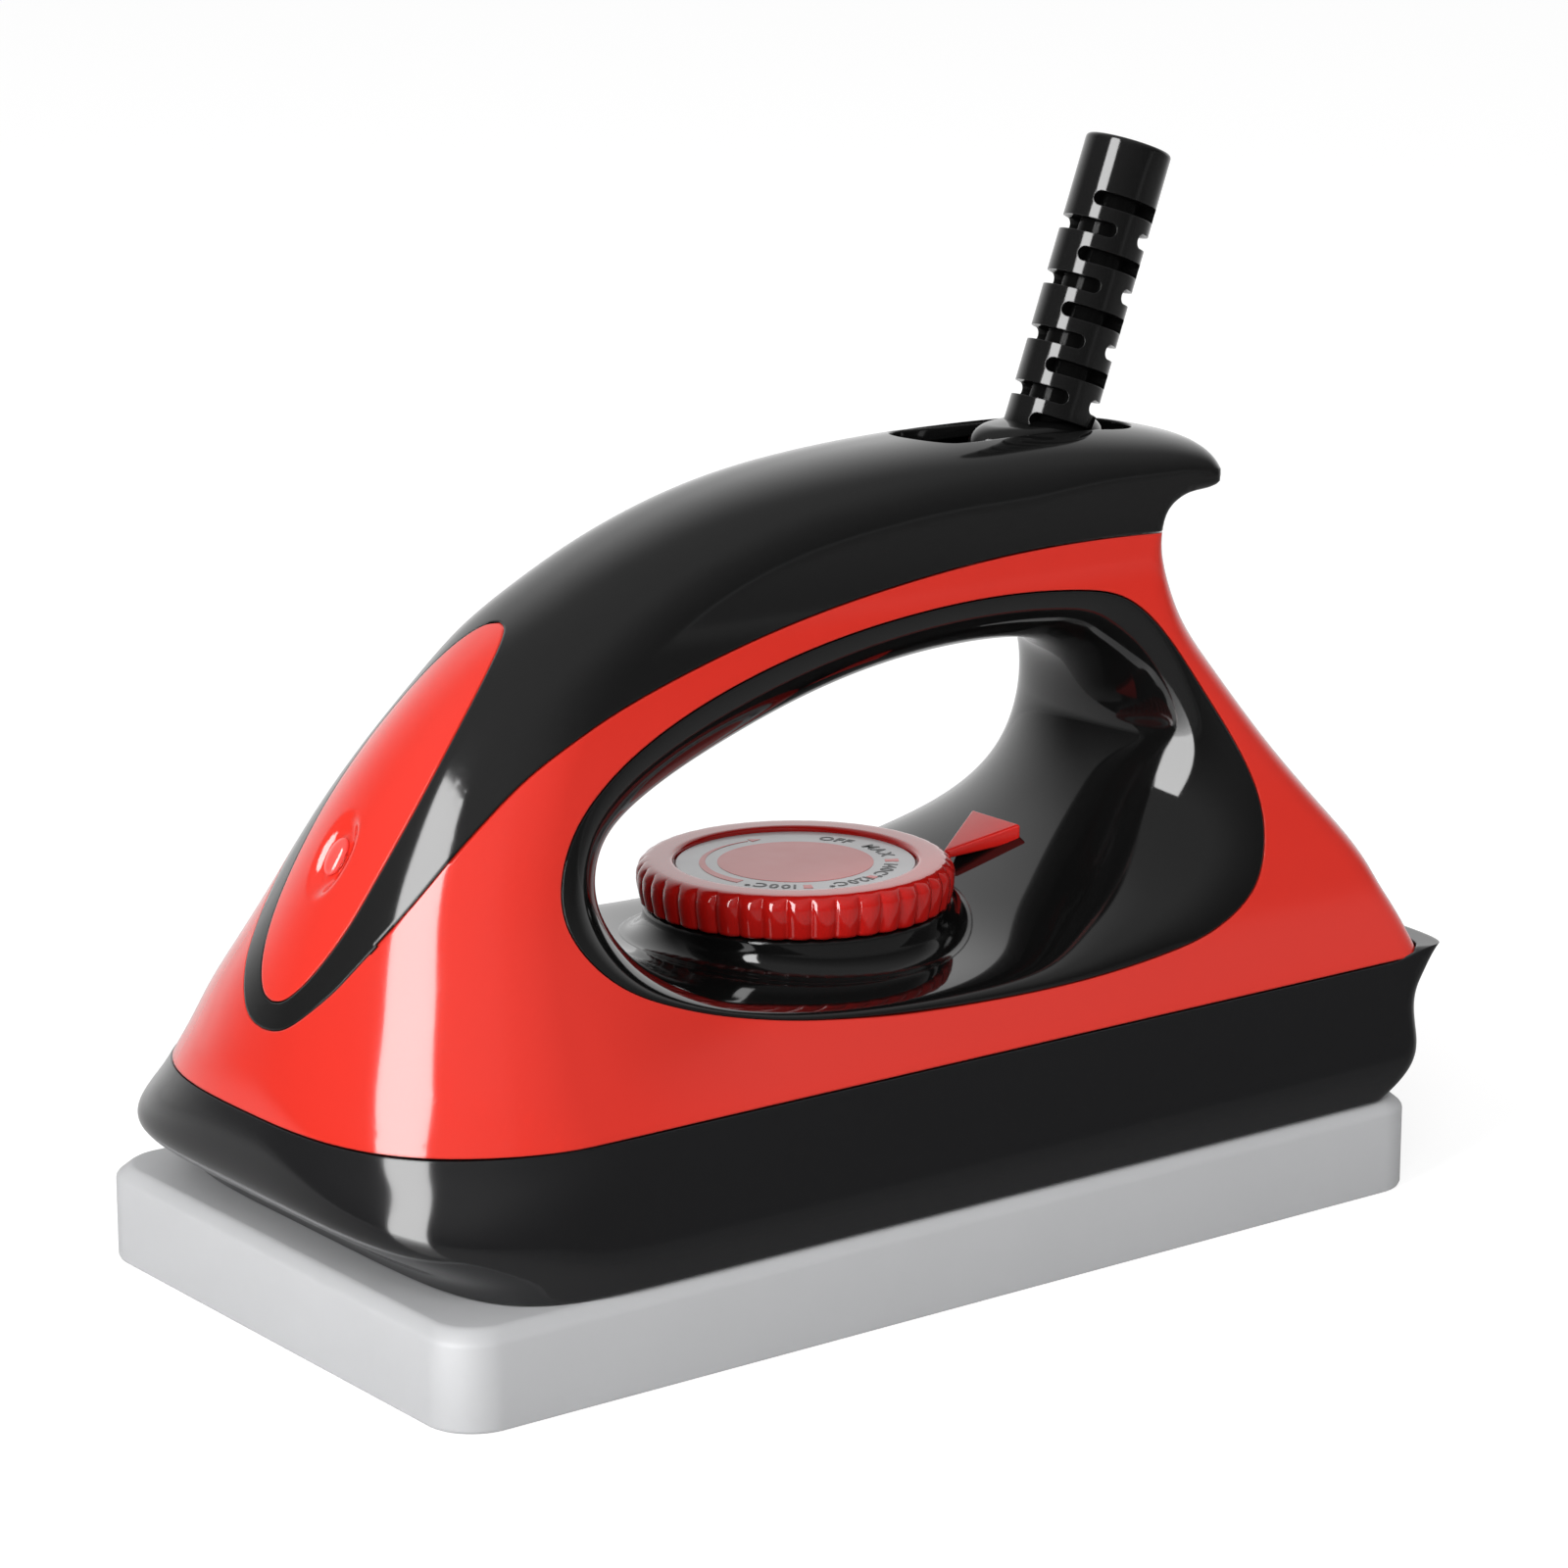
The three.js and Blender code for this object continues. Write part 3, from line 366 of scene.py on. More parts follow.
def skin_value(x, fields):
    """1 on the housing's skin, less inside it."""
    top, top_power, back, back_power, width = fields
    across = np.abs(x) / width
    a = (across**top_power + top**top_power) ** (1 / top_power)
    b = (across**back_power + back**back_power) ** (1 / back_power)
    soft = TAIL_BLEND * np.minimum(top, 1) * np.minimum(back, 1)
    return 0.5 * (a + b + np.sqrt((a - b) ** 2 + soft**2))


def skin_gradient(points, inset):
    x, y, z = points.T
    e = 0.03
    here = shares(y, z, inset)
    dx = (skin_value(x + e, here) - skin_value(x - e, here)) / (2 * e)
    dy = skin_value(x, shares(y + e, z, inset)) - skin_value(x, shares(y - e, z, inset))
    dz = skin_value(x, shares(y, z + e, inset)) - skin_value(x, shares(y, z - e, inset))
    return np.stack([dx, dy / (2 * e), dz / (2 * e)], axis=1), skin_value(x, here) - 1


def settle(points, inset):
    """Moves points near the skin exactly onto it."""
    for _ in range(2):
        gradient, value = skin_gradient(points, inset)
        size = np.maximum((gradient**2).sum(1), 1e-9)
        move = (value / size)[:, None] * gradient
        length = np.linalg.norm(move, axis=1, keepdims=True)
        points = points - move * np.minimum(1, 1.0 / np.maximum(length, 1e-9))
    return points


def skin_normals(points, inset=0.0):
    gradient, value = skin_gradient(points, inset)
    size = np.maximum(np.linalg.norm(gradient, axis=1), 1e-9)
    return gradient / size[:, None], np.abs(value) / size


def edge_of(low, high, inside):
    """Where a test stops holding between low and high, for each pair of them."""
    for _ in range(40):
        middle = (low + high) / 2
        within = inside(middle)
        low = np.where(within, middle, low)
        high = np.where(within, high, middle)
    return (low + high) / 2


def half_width(y, z):
    """Half width of the skin at points of the side view."""
    fields = shares(np.asarray(y, float), np.asarray(z, float), 0.0)
    return edge_of(np.zeros(len(y)), np.full(len(y), 60.0), lambda x: skin_value(x, fields) < 1)


def skin_height(x, y):
    """Height of the handle's top at points of the plan view."""
    low = np.full(len(x), 112.0)
    return edge_of(low, low + 18, lambda z: skin_value(x, shares(y, z, 0.0)) < 1)


# ---------- meshes ----------
scratch = []


def in_scene(name, data):
    obj = bpy.data.objects.new(name, data)
    bpy.context.scene.collection.objects.link(obj)
    return obj


def mesh_object(name, points, faces):
    mesh = bpy.data.meshes.new(name)
    mesh.from_pydata(np.asarray(points, float).tolist(), [], [list(map(int, f)) for f in faces])
    return in_scene(name, mesh)


def tool(name, points, faces):
    obj = mesh_object(name, points, faces)
    scratch.append(obj)
    return obj


def copy_of(obj, name):
    return in_scene(name, obj.data.copy())


def evaluated_mesh(obj):
    """A new mesh of an object with its modifiers applied, or of a text."""
    bpy.context.view_layer.update()
    return bpy.data.meshes.new_from_object(obj.evaluated_get(bpy.context.evaluated_depsgraph_get()))


def combine(obj, other, operation):
    """Cuts, joins or keeps the overlap of two closed meshes."""
    modifier = obj.modifiers.new("combine", "BOOLEAN")
    modifier.operation = operation
    modifier.solver = "MANIFOLD"
    modifier.object = other
    mesh = evaluated_mesh(obj)
    obj.modifiers.clear()
    obj.data = mesh
    if not len(mesh.polygons):
        raise RuntimeError(f"nothing is left of {obj.name} after {other.name}")


def grid_faces(rows, columns, close_rows=False, close_columns=False):
    i, j = np.meshgrid(
        np.arange(rows if close_rows else rows - 1),
        np.arange(columns if close_columns else columns - 1),
        indexing="ij",
    )
    i = i.ravel()
    j = j.ravel()
    up = (i + 1) % rows
    over = (j + 1) % columns
    return np.stack([i * columns + j, i * columns + over, up * columns + over, up * columns + j], axis=1)


def outward(points, faces):
    """Faces turned so that a closed mesh faces out."""
    p = np.asarray(points, float)
    sizes = np.array([len(f) for f in faces])
    volume = 0.0
    for size in np.unique(sizes):
        group = np.array([f for f in faces if len(f) == size])
        for k in range(1, size - 1):
            volume += (p[group[:, 0]] * np.cross(p[group[:, k]], p[group[:, k + 1]])).sum()
    return faces if volume > 0 else [list(f)[::-1] for f in faces]


def closed_loft(rings):
    """A closed mesh from rings with equal point counts, each end closed by a fan."""
    rings = [np.asarray(r, float) for r in rings]
    count = len(rings[0])
    points = list(np.vstack(rings))
    faces = [list(f) for f in grid_faces(len(rings), count, close_columns=True)]
    for ring, start, flip in ((rings[0], 0, True), (rings[-1], (len(rings) - 1) * count, False)):
        points.append(ring.mean(axis=0))
        centre = len(points) - 1
        for i in range(count):
            pair = [start + i, start + (i + 1) % count]
            faces.append([centre, *(reversed(pair) if flip else pair)])
    return np.array(points), outward(points, faces)


def side_block(name, loop, half=70.0):
    """Everything within a side-view outline, as a block across the whole width."""
    loop = np.asarray(loop, float)
    n = len(loop)
    left = np.column_stack([np.full(n, -half), loop])
    right = np.column_stack([np.full(n, half), loop])
    sides = [[i, (i + 1) % n, n + (i + 1) % n, n + i] for i in range(n)]
    faces = sides + [list(range(n))[::-1], list(range(n, 2 * n))]
    points = np.vstack([left, right])
    return tool(name, points, outward(points, faces))


WHOLE = ((-56, -104, 32), (56, 110, 129))
NOSE = ((-15, -102, 50), (15, -44, 113))
CELL = {"skin": 0.9, "hollow": 1.4, "lens": 0.45, "lens_back": 0.9, "over_skirt": 1.2}
LENS_WALL = 1.6
ON_LENS = 0.06


def skin_solid(name, inset, step, region, settled):
    """The housing's volume within a region, inset mm inside its skin, with a flat floor."""
    (low_x, low_y, low_z), (high_x, high_y, high_z) = region
    xs = np.arange(low_x, high_x + step / 2, step)
    ys = np.arange(low_y, high_y + step / 2, step)
    zs = np.arange(low_z, high_z + step / 2, step)
    y, z = np.meshgrid(ys, zs, indexing="ij")
    fields = [f[None, :, :] for f in shares(y, z, inset)]
    value = (skin_value(xs[:, None, None], fields) - 1) * 12
    value = np.maximum(value, (low_z + 1.5 * step) - z[None, :, :])
    band = 3 * step
    grid = openvdb.FloatGrid(band)
    grid.copyFromArray(np.clip(value, -band, band).astype(np.float32))
    grid.transform = openvdb.createLinearTransform(
        [[step, 0, 0, 0], [0, step, 0, 0], [0, 0, step, 0], [low_x, low_y, low_z, 1]]
    )
    points, quads = grid.convertToQuads(isovalue=0.0)
    points = np.asarray(points, float)
    if settled:
        free = (points[:, 2] > low_z + 3 * step) & (points[:, 2] < high_z - 2 * step)
        free &= (points[:, 1] > low_y + 2 * step) & (points[:, 1] < high_y - 2 * step)
        free &= np.abs(points[:, 0]) < high_x - 2 * step
        points[free] = settle(points[free], inset)
    corner = points[quads]
    cross = np.cross(corner[:, 1] - corner[:, 0], corner[:, 2] - corner[:, 0])
    volume = (cross * corner[:, 0]).sum()
    if volume < 0:
        quads = quads[:, ::-1]
    return tool(name, points, quads)


def set_normals(obj, chosen, mask):
    """Sets each face corner's normal to its vertex's chosen one where the face lies in that surface."""
    mesh = obj.data
    count = len(mesh.loops)
    loop_vertex = np.zeros(count, np.int32)
    mesh.loops.foreach_get("vertex_index", loop_vertex)
    faces = len(mesh.polygons)
    face_normal = np.zeros(faces * 3)
    mesh.polygons.foreach_get("normal", face_normal)
    totals = np.zeros(faces, np.int32)
    mesh.polygons.foreach_get("loop_total", totals)
    flat = np.repeat(face_normal.reshape(-1, 3), totals, axis=0)
    wanted = chosen[loop_vertex]
    fits = mask[loop_vertex] & ((wanted * flat).sum(1) > math.cos(math.radians(38)))
    mesh.polygons.foreach_set("use_smooth", np.ones(faces, bool))
    mesh.normals_split_custom_set(np.where(fits[:, None], wanted, flat).tolist())


def vertices_of(obj):
    p = np.zeros(len(obj.data.vertices) * 3)
    obj.data.vertices.foreach_get("co", p)
    return p.reshape(-1, 3)


def polish_skin(obj, tolerance=0.12):
    points = vertices_of(obj)
    normals, distance = skin_normals(points)
    set_normals(obj, normals, distance < tolerance)


def finish_piece(obj, body, slot, material, *replaced, edges=None):
    """Hands a piece over in metres; with edges, only corners over that many degrees stay sharp."""
    if edges:
        obj.data.polygons.foreach_set("use_smooth", np.ones(len(obj.data.polygons), bool))
        obj.data.set_sharp_from_angle(angle=math.radians(edges))
    obj.data.transform(Matrix.Diagonal((MM, MM, MM, 1)))
    obj.data.materials.clear()
    obj.data.materials.append(material)
    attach(obj, body)
    if replaced:
        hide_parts(*replaced)


# ---------- materials ----------
def feed(tree, node, **inputs):
    """Sets a node's inputs, named with _ for each space, to values or to other nodes' outputs."""
    for name, value in inputs.items():
        entry = node.inputs[name.replace("_", " ")]
        if isinstance(value, bpy.types.NodeSocket):
            tree.links.new(value, entry)
        else:
            entry.default_value = value


def add_node(tree, kind, **inputs):
    node = tree.nodes.new("ShaderNode" + kind)
    feed(tree, node, **inputs)
    return node


def node_material(name, color, roughness, metallic=0.0, coat=0.0, grain=0.0, grain_size=0.5, bevel=0.0,
                  mottle=0.04, specular=0.5, transmission=0.0, painted_shade_reach=0.0):
    """A surface with faint blotches and uneven gloss; soft edges, grain and, where asked, painted shade that
    dims the gloss in crevices.
    """
    material = bpy.data.materials.new(name)
    material.use_nodes = True
    tree = material.node_tree
    shader = tree.nodes["Principled BSDF"]
    place = add_node(tree, "TexCoord").outputs["Object"]
    broad = add_node(tree, "TexNoise", Vector=place, Scale=38, Detail=3)
    dark = (*[c * (1 - mottle) for c in color], 1)
    light = (*[min(1, c * (1 + mottle)) for c in color], 1)
    tint = add_node(tree, "MixRGB", Fac=broad.outputs["Fac"], Color1=dark, Color2=light)
    haze = add_node(tree, "TexNoise", Vector=place, Scale=160, Detail=4).outputs["Fac"]
    gloss = (roughness * 0.82, min(1, roughness * 1.22))
    spread = add_node(tree, "MapRange", Value=haze, To_Min=gloss[0], To_Max=gloss[1])
    feed(tree, shader, Base_Color=tint.outputs["Color"], Roughness=spread.outputs["Result"])
    feed(tree, shader, Metallic=metallic, Coat_Weight=coat, Coat_Roughness=0.04)
    feed(tree, shader, Specular_IOR_Level=specular, Transmission_Weight=transmission)
    # Painted shade: where ambient occlusion finds nearby surfaces, the gloss is turned down to stand in for
    # the shade that falls in crevices.
    if painted_shade_reach:
        hollow = add_node(tree, "AmbientOcclusion", Distance=painted_shade_reach * MM)
        hollow.samples = 6
        shaded_gloss = add_node(tree, "MapRange", Value=hollow.outputs["AO"], From_Min=0.55, From_Max=0.95)
        feed(tree, shaded_gloss, To_Max=specular)
        feed(tree, shader, Specular_IOR_Level=shaded_gloss.outputs["Result"])
    if bevel:
        edge = add_node(tree, "Bevel", Radius=bevel * MM)
        edge.samples = 4
        feed(tree, shader, Normal=edge.outputs["Normal"])
    if grain:
        fine = add_node(tree, "TexNoise", Vector=place, Scale=1 / (grain_size * MM), Detail=2)
        bump = add_node(tree, "Bump", Height=fine.outputs["Fac"], Strength=1.0, Distance=grain * MM)
        if bevel:
            feed(tree, bump, Normal=edge.outputs["Normal"])
        feed(tree, shader, Normal=bump.outputs["Normal"])
    return material


RED = node_material("housing_red", (0.57, 0.024, 0.014), 0.10, coat=0.3, bevel=0.4, mottle=0.015)
LENS = node_material("lens_red", (0.62, 0.026, 0.015), 0.08, coat=0.5, bevel=0.4, mottle=0.015)
LAMP_RED = node_material("lamp_red", (0.85, 0.07, 0.06), 0.06, coat=0.6, mottle=0.01)
KNOB_RED = node_material("knob_red", (0.40, 0.007, 0.005), 0.12, coat=0.5, mottle=0.02)
POINTER_RED = node_material("pointer_red", (0.60, 0.012, 0.008), 0.2, coat=0.2, mottle=0.02)
COVER_BLACK = node_material("cover_black", (0.006, 0.006, 0.006), 0.08, coat=0.15, bevel=0.4)
LINER_BLACK = node_material("liner_black", (0.004, 0.004, 0.004), 0.06, coat=0.1, bevel=0.4)
SKIRT_BLACK = node_material("skirt_black", (0.008, 0.008, 0.0085), 0.11, coat=0.15, bevel=0.4)
# The guard's gloss is dimmed by painted shade in the crevices of its slots.
GUARD_BLACK = node_material(
    "guard_rubber", (0.004, 0.004, 0.004), 0.09, bevel=0.25, specular=0.6, painted_shade_reach=3.0
)
ALUMINIUM = node_material(
    "sole_aluminium", (0.43, 0.433, 0.442), 0.6, metallic=0.1, grain=0.01, grain_size=0.25, bevel=0.5,
    specular=0.3,
)
SILVER = node_material("dial_silver", (0.42, 0.42, 0.43), 0.35, metallic=0.3, coat=0.3)
DIAL_RED = node_material("dial_red", (0.50, 0.06, 0.055), 0.3, coat=0.3)
INK = node_material("dial_ink", (0.05, 0.05, 0.052), 0.4)
STEEL = node_material("hidden_steel", (0.56, 0.56, 0.58), 0.35, metallic=1)
DULL_STEEL = node_material("heater_steel", (0.3, 0.29, 0.28), 0.45, metallic=1)
BRASS = node_material("hidden_brass", (0.72, 0.58, 0.27), 0.32, metallic=1)
CERAMIC = node_material("hidden_ceramic", (0.86, 0.83, 0.76), 0.6, grain=0.02)
GLASS = node_material("lamp_glass", (1.0, 0.85, 0.75), 0.03, transmission=1.0)
SHEATH = node_material("cord_sheath", (0.012, 0.012, 0.012), 0.5, grain=0.02)
BLUE = node_material("wire_blue", (0.03, 0.1, 0.35), 0.45)
BROWN = node_material("wire_brown", (0.13, 0.05, 0.02), 0.45)
GREEN = node_material("wire_green", (0.2, 0.36, 0.04), 0.45)

MATERIAL_SLOTS = (
    (ALUMINIUM, "sole_aluminium"),
    (DULL_STEEL, "heater_steel"),
    (STEEL, "shield_steel screw_steel thermostat_steel fuse_metal"),
    (BRASS, "terminal_brass spring_brass clip_brass"),
    (CERAMIC, "spacer_ceramic thermostat_ceramic block_white"),
    (SHEATH, "cord_sheath clamp_black"),
    (BLUE, "wire_blue"),
    (BROWN, "wire_brown"),
    (GREEN, "wire_green"),
    (GLASS, "lamp_glass"),
    (SKIRT_BLACK, "skirt_black"),
    (RED, "housing_red"),
    (COVER_BLACK, "cover_black"),
    (LINER_BLACK, "liner_black"),
    (LENS, "lens_red"),
    (KNOB_RED, "knob_red"),
    (SILVER, "dial_silver"),
    (POINTER_RED, "pointer_red"),
    (GUARD_BLACK, "guard_rubber"),
)
SLOT_MATERIAL = {slot: material for material, slots in MATERIAL_SLOTS for slot in slots.split()}


# ---------- the hand opening ----------
AROUND = 360
ACROSS = 56
opening = trace(OPENING, AROUND, closed=True)
rim = opening[:, :2]
throat = opening[:, 2:4]
rim_half = half_width(rim[:, 0], rim[:, 1])
rim_depth = np.linalg.norm(rim - throat, axis=1)
rim_out = (rim - throat) / rim_depth[:, None]


def opening_ring(turn, wall, side):
    """One loop of the opening's surface: turn runs from 0 on the centre plane to a right angle at the rim."""
    power = opening[:, 4]
    share = math.sin(turn) ** (2 / power)
    inward = (rim_depth - wall) * max(math.cos(turn), 0) ** (2 / power)
    points = rim - rim_out * inward[:, None]
    return np.column_stack([side * share * (rim_half - wall), points])


def opening_rings(wall):
    turns = np.linspace(0, math.pi / 2, ACROSS)
    left = [opening_ring(t, wall, -1) for t in turns[:0:-1]]
    right = [opening_ring(t, wall, 1) for t in turns]
    return left + right


def rim_loop(grow):
    return rim + rim_out * grow


# ---------- seams ----------
def front_block(name, loop, back, front=-130.0):
    """Everything within a front-view outline, as a block from the front back to a y."""
    loop = np.asarray(loop, float)
    rings = [np.column_stack([loop[:, 0], np.full(len(loop), y), loop[:, 1]]) for y in (front, back)]
    return tool(name, *closed_loft(rings))


def mirrored(half, grow):
    """The whole of a front-view outline from its right half, grown outward."""
    line = trace(half, 200)
    ends = [[-row[0], row[1]] for row in line[::-1] if row[0] > 0.01]
    loop = np.vstack([line, ends])
    return moved_aside(loop, np.roll(loop, -1, axis=0) - np.roll(loop, 1, axis=0), grow)


def cover_widths():
    """The cover's half widths up to where its side view takes over, from that same side view."""
    line = trace(COVER_SEAM, 400)[:, :2]
    heights, trim = np.array(COVER_TRIM).T
    y = np.interp(heights, line[:, 1], line[:, 0])
    return list(zip(half_width(y, heights) - trim, heights))


def cover_block(name, grow):
    """The cover's part of the housing: a front-view outline over the nose, then a side-view one."""
    line = trace(COVER_SEAM, 400)[:, :2]
    line = moved_aside(line, np.gradient(line, axis=0), grow)
    line = line[line[:, 1] > COVER_MEET]
    side = side_block(name, [*line, (120, line[-1, 1]), (120, 150), (-130, 150), (-130, line[0, 1])])
    nose = mirrored([*COVER_NOSE, *cover_widths()], grow / 2)
    combine(side, front_block(name + "_nose", nose[nose[:, 1] < COVER_MEET + 1.5], -60.0), "UNION")
    return side


def lens_block(name, grow):
    return front_block(name, mirrored(LENS_OUTLINE, grow), -50.0)


def slot_cutter():
    """The cord guard's slot, with its edge rolled over into the handle's top."""
    centre = (SLOT["front"] + SLOT["rear"]) / 2
    reach = (SLOT["rear"] - SLOT["front"]) / 2 - SLOT["half"]
    angle = full_turn(160)
    cap = np.where(np.sin(angle) >= 0, reach, -reach)
    rings = []
    lip = SLOT["lip"]
    for roll in [None, *np.linspace(0, math.pi / 2, 9), "floor"]:
        grow = lip if roll is None else 0.0 if roll == "floor" else lip * (1 - math.sin(roll))
        x = (SLOT["half"] + grow) * np.cos(angle)
        y = centre + cap + (SLOT["half"] + grow) * np.sin(angle)
        height = skin_height(x, y)
        if roll is None:
            z = height + 6
        elif roll == "floor":
            z = np.full(len(x), 112.0)
        else:
            z = height - lip * (1 - math.cos(roll)) + 0.02
        rings.append(np.column_stack([x, y, z]))
    return tool("slot_cutter", *closed_loft(rings))


def box_tool(name, low, high):
    x0, y0, z0 = low
    x1, y1, z1 = high
    ring = [(x0, y0), (x1, y0), (x1, y1), (x0, y1)]
    return tool(name, *closed_loft([[(x, y, z0) for x, y in ring], [(x, y, z1) for x, y in ring]]))


# ---------- housing, cover, lens ----------
def lens_slope():
    """Unit vectors at the indicator lamp in the side view: up the nose, and out of it."""
    i = int(np.argmin((TOP_LINE[:, 0] - LAMP["y"]) ** 2 + (TOP_LINE[:, 1] - LAMP["z"]) ** 2))
    along = TOP_LINE[i + 6, :2] - TOP_LINE[i - 6, :2]
    along = along / np.linalg.norm(along)
    return along, np.array([-along[1], along[0]])


def make_housing():
    skin = skin_solid("skin", 0.0, CELL["skin"], WHOLE, True)
    hollow = skin_solid("hollow", WALL, CELL["hollow"], ((-56, -104, 26), WHOLE[1]), False)
    below = box_tool("below", (-80, -130, 10), (80, 130, SEAM_Z + GAP / 2))
    rim_grown = side_block("rim_grown", rim_loop(GAP))

    shell = copy_of(skin, "body_shell_visual")
    combine(shell, below, "DIFFERENCE")
    combine(shell, hollow, "DIFFERENCE")
    cover = copy_of(shell, "handle_cover_visual")
    combine(shell, cover_block("above_seam", GAP / 2), "DIFFERENCE")
    combine(shell, rim_grown, "DIFFERENCE")
    polish_skin(shell)
    finish_piece(shell, "housing", "housing_red", RED, "body_shell")

    combine(cover, cover_block("cover_part", -GAP / 2), "INTERSECT")
    combine(cover, lens_block("lens_hole", GAP * 0.8), "DIFFERENCE")
    combine(cover, rim_grown, "DIFFERENCE")
    combine(cover, slot_cutter(), "DIFFERENCE")
    polish_skin(cover)
    finish_piece(cover, "housing", "cover_black", COVER_BLACK, "handle_cover")


def make_slot_tray():
    """The plate that closes the guard's slot from below, with a hole for the cord."""
    size = [SLOT_TRAY[key] for key in ("half_x", "half_y", "corner")]
    rows = [rounded_ring(*size, SLOT_TRAY[level]) + [0, SLOT_TRAY["y"], 0] for level in ("low", "high")]
    tray = mesh_object("slot_tray_visual", *closed_loft(rows))
    radius = TRAY_HOLE["radius"]
    levels = (SLOT_TRAY["low"] - 2, SLOT_TRAY["high"] + 2)
    hole = [rounded_ring(radius, radius, radius - 0.1, z, 10) + [0, TRAY_HOLE["y"], 0] for z in levels]
    combine(tray, tool("tray_hole", *closed_loft(hole)), "DIFFERENCE")
    finish_piece(tray, "housing", "cover_black", COVER_BLACK, edges=35)


def make_lens():
    lens = copy_of(skin_solid("nose", 0.0, CELL["lens"], NOSE, True), "indicator_lens_visual")
    combine(lens, skin_solid("lens_back", LENS_WALL, CELL["lens_back"], NOSE, False), "DIFFERENCE")
    combine(lens, lens_block("lens_part", 0.0), "INTERSECT")
    points = vertices_of(lens)
    normals, distance = skin_normals(points)
    along, out = lens_slope()
    side = points[:, 1:] - [LAMP["y"], LAMP["z"]]
    reach = np.hypot(points[:, 0] / LAMP["half_x"], (side @ along) / LAMP["half_z"])
    dip = LAMP["rise"] * np.exp(-((reach / 0.3) ** 2)) - LAMP["dip"] * smooth_step((1 - reach) / 0.5)
    dip = np.where((reach < 1) & (distance < ON_LENS), dip, 0)
    lens.data.vertices.foreach_set("co", (points + normals * dip[:, None]).ravel())
    lens.data.update()
    near = (reach < 1.08) & (distance < ON_LENS)
    vertex_normals = np.zeros(len(points) * 3)
    lens.data.vertices.foreach_get("normal", vertex_normals)
    chosen = np.where(near[:, None], vertex_normals.reshape(-1, 3), normals)
    set_normals(lens, chosen, distance < ON_LENS)
    finish_piece(lens, "housing", "lens_red", LENS, "indicator_lens")

    rings = []
    centre = np.array([0, LAMP["y"], LAMP["z"]])
    out3 = np.array([0, *out])
    along3 = np.array([0, *along])
    angle = full_turn(48)
    for rise in np.linspace(-0.9, 0.97, 16):
        spread = math.sqrt(1 - rise**2)
        ring = centre + out3 * (LAMP_BUMP["half_y"] * rise - LAMP_BUMP["sunk"])
        ring = ring + np.outer(LAMP_BUMP["half_x"] * spread * np.cos(angle), [1, 0, 0])
        rings.append(ring + np.outer(LAMP_BUMP["half_z"] * spread * np.sin(angle), along3))
    lamp = mesh_object("lamp_lens_visual", *closed_loft(rings))
    finish_piece(lamp, "housing", "lens_red", LAMP_RED, "lamp_lens", edges=80)


# ---------- liner, deck and pedestal ----------
def height_over(points, faces, x, y, top=60.0):
    """Heights of a surface straight under points of the plan view."""
    tree = BVHTree.FromPolygons([tuple(p) for p in points], [tuple(f) for f in faces])
    found = []
    for px, py in zip(x, y):
        hit = tree.ray_cast(Vector((px, py, top)), Vector((0, 0, -1)))
        found.append(hit[0].z)
    return np.array(found)


def make_liner():
    outer = opening_rings(0.0)
    inner = opening_rings(LINER_WALL)[::-1]
    points = np.vstack(outer + inner)
    faces = grid_faces(len(outer) + len(inner), AROUND, close_rows=True, close_columns=True).tolist()
    faces = outward(points, faces)

    angle = full_turn(180)
    circle = np.column_stack([np.cos(angle), np.sin(angle)])
    top = PEDESTAL["top"]
    radius = PEDESTAL["radius"]
    foot = radius + PEDESTAL["fillet"]
    deck = height_over(points, faces, foot * circle[:, 0], DECK_CENTRE_Y + foot * circle[:, 1])
    rings = []

    def ring(r, z):
        rings.append(np.column_stack([r * circle[:, 0], DECK_CENTRE_Y + r * circle[:, 1], z]))

    ring(foot - 0.5, deck - 1.2)
    for turn in np.linspace(0, math.pi / 2, 16):
        ring(foot - PEDESTAL["fillet"] * math.sin(turn), deck + PEDESTAL["rise"] * (1 - math.cos(turn)))
    for turn in np.linspace(0, math.pi / 2, 6):
        edge = 0.5
        ring(radius - edge * (1 - math.cos(turn)), np.full(180, top - edge * (1 - math.sin(turn))))
    more_points, more_faces = closed_loft(rings)
    offset = len(points)
    faces = faces + [[i + offset for i in f] for f in more_faces]
    liner = mesh_object("opening_liner_visual", np.vstack([points, more_points]), faces)
    finish_piece(liner, "housing", "liner_black", LINER_BLACK, "opening_liner", edges=50)


# ---------- skirt and sole ----------
section_at = natural([row[0] for row in SKIRT_SECTIONS], [row[1:] for row in SKIRT_SECTIONS])
SKIRT_TOP = SKIRT_SECTIONS[-1][0]


def skirt_ring(z, inset=0.0, lifted=True):
    half, nose, nose_run, nose_power, rear, rear_run, rear_power = section_at(z)[0]
    low = nose + inset
    high = rear - inset
    y = low + (high - low) * (1 - np.cos(np.linspace(0, math.pi, 181))) / 2
    front = np.clip((y - low) / (nose_run - inset), 0, 1)
    back = np.clip((high - y) / (rear_run - inset), 0, 1)
    x = (half - inset) * (1 - (1 - front) ** nose_power) ** (1 / nose_power)
    x = x * (1 - (1 - back) ** rear_power) ** (1 / rear_power)
    lift = (LIP["top"] - SKIRT_TOP) * smooth_step((y - LIP["start"]) / LIP["run"])
    height = z + (lift * smooth_step((z - SKIRT_CEILING) / (SKIRT_TOP - SKIRT_CEILING)) if lifted else 0 * y)
    left = np.column_stack([x, y, height])
    return np.vstack([left, (left * [-1, 1, 1])[-2:0:-1]])


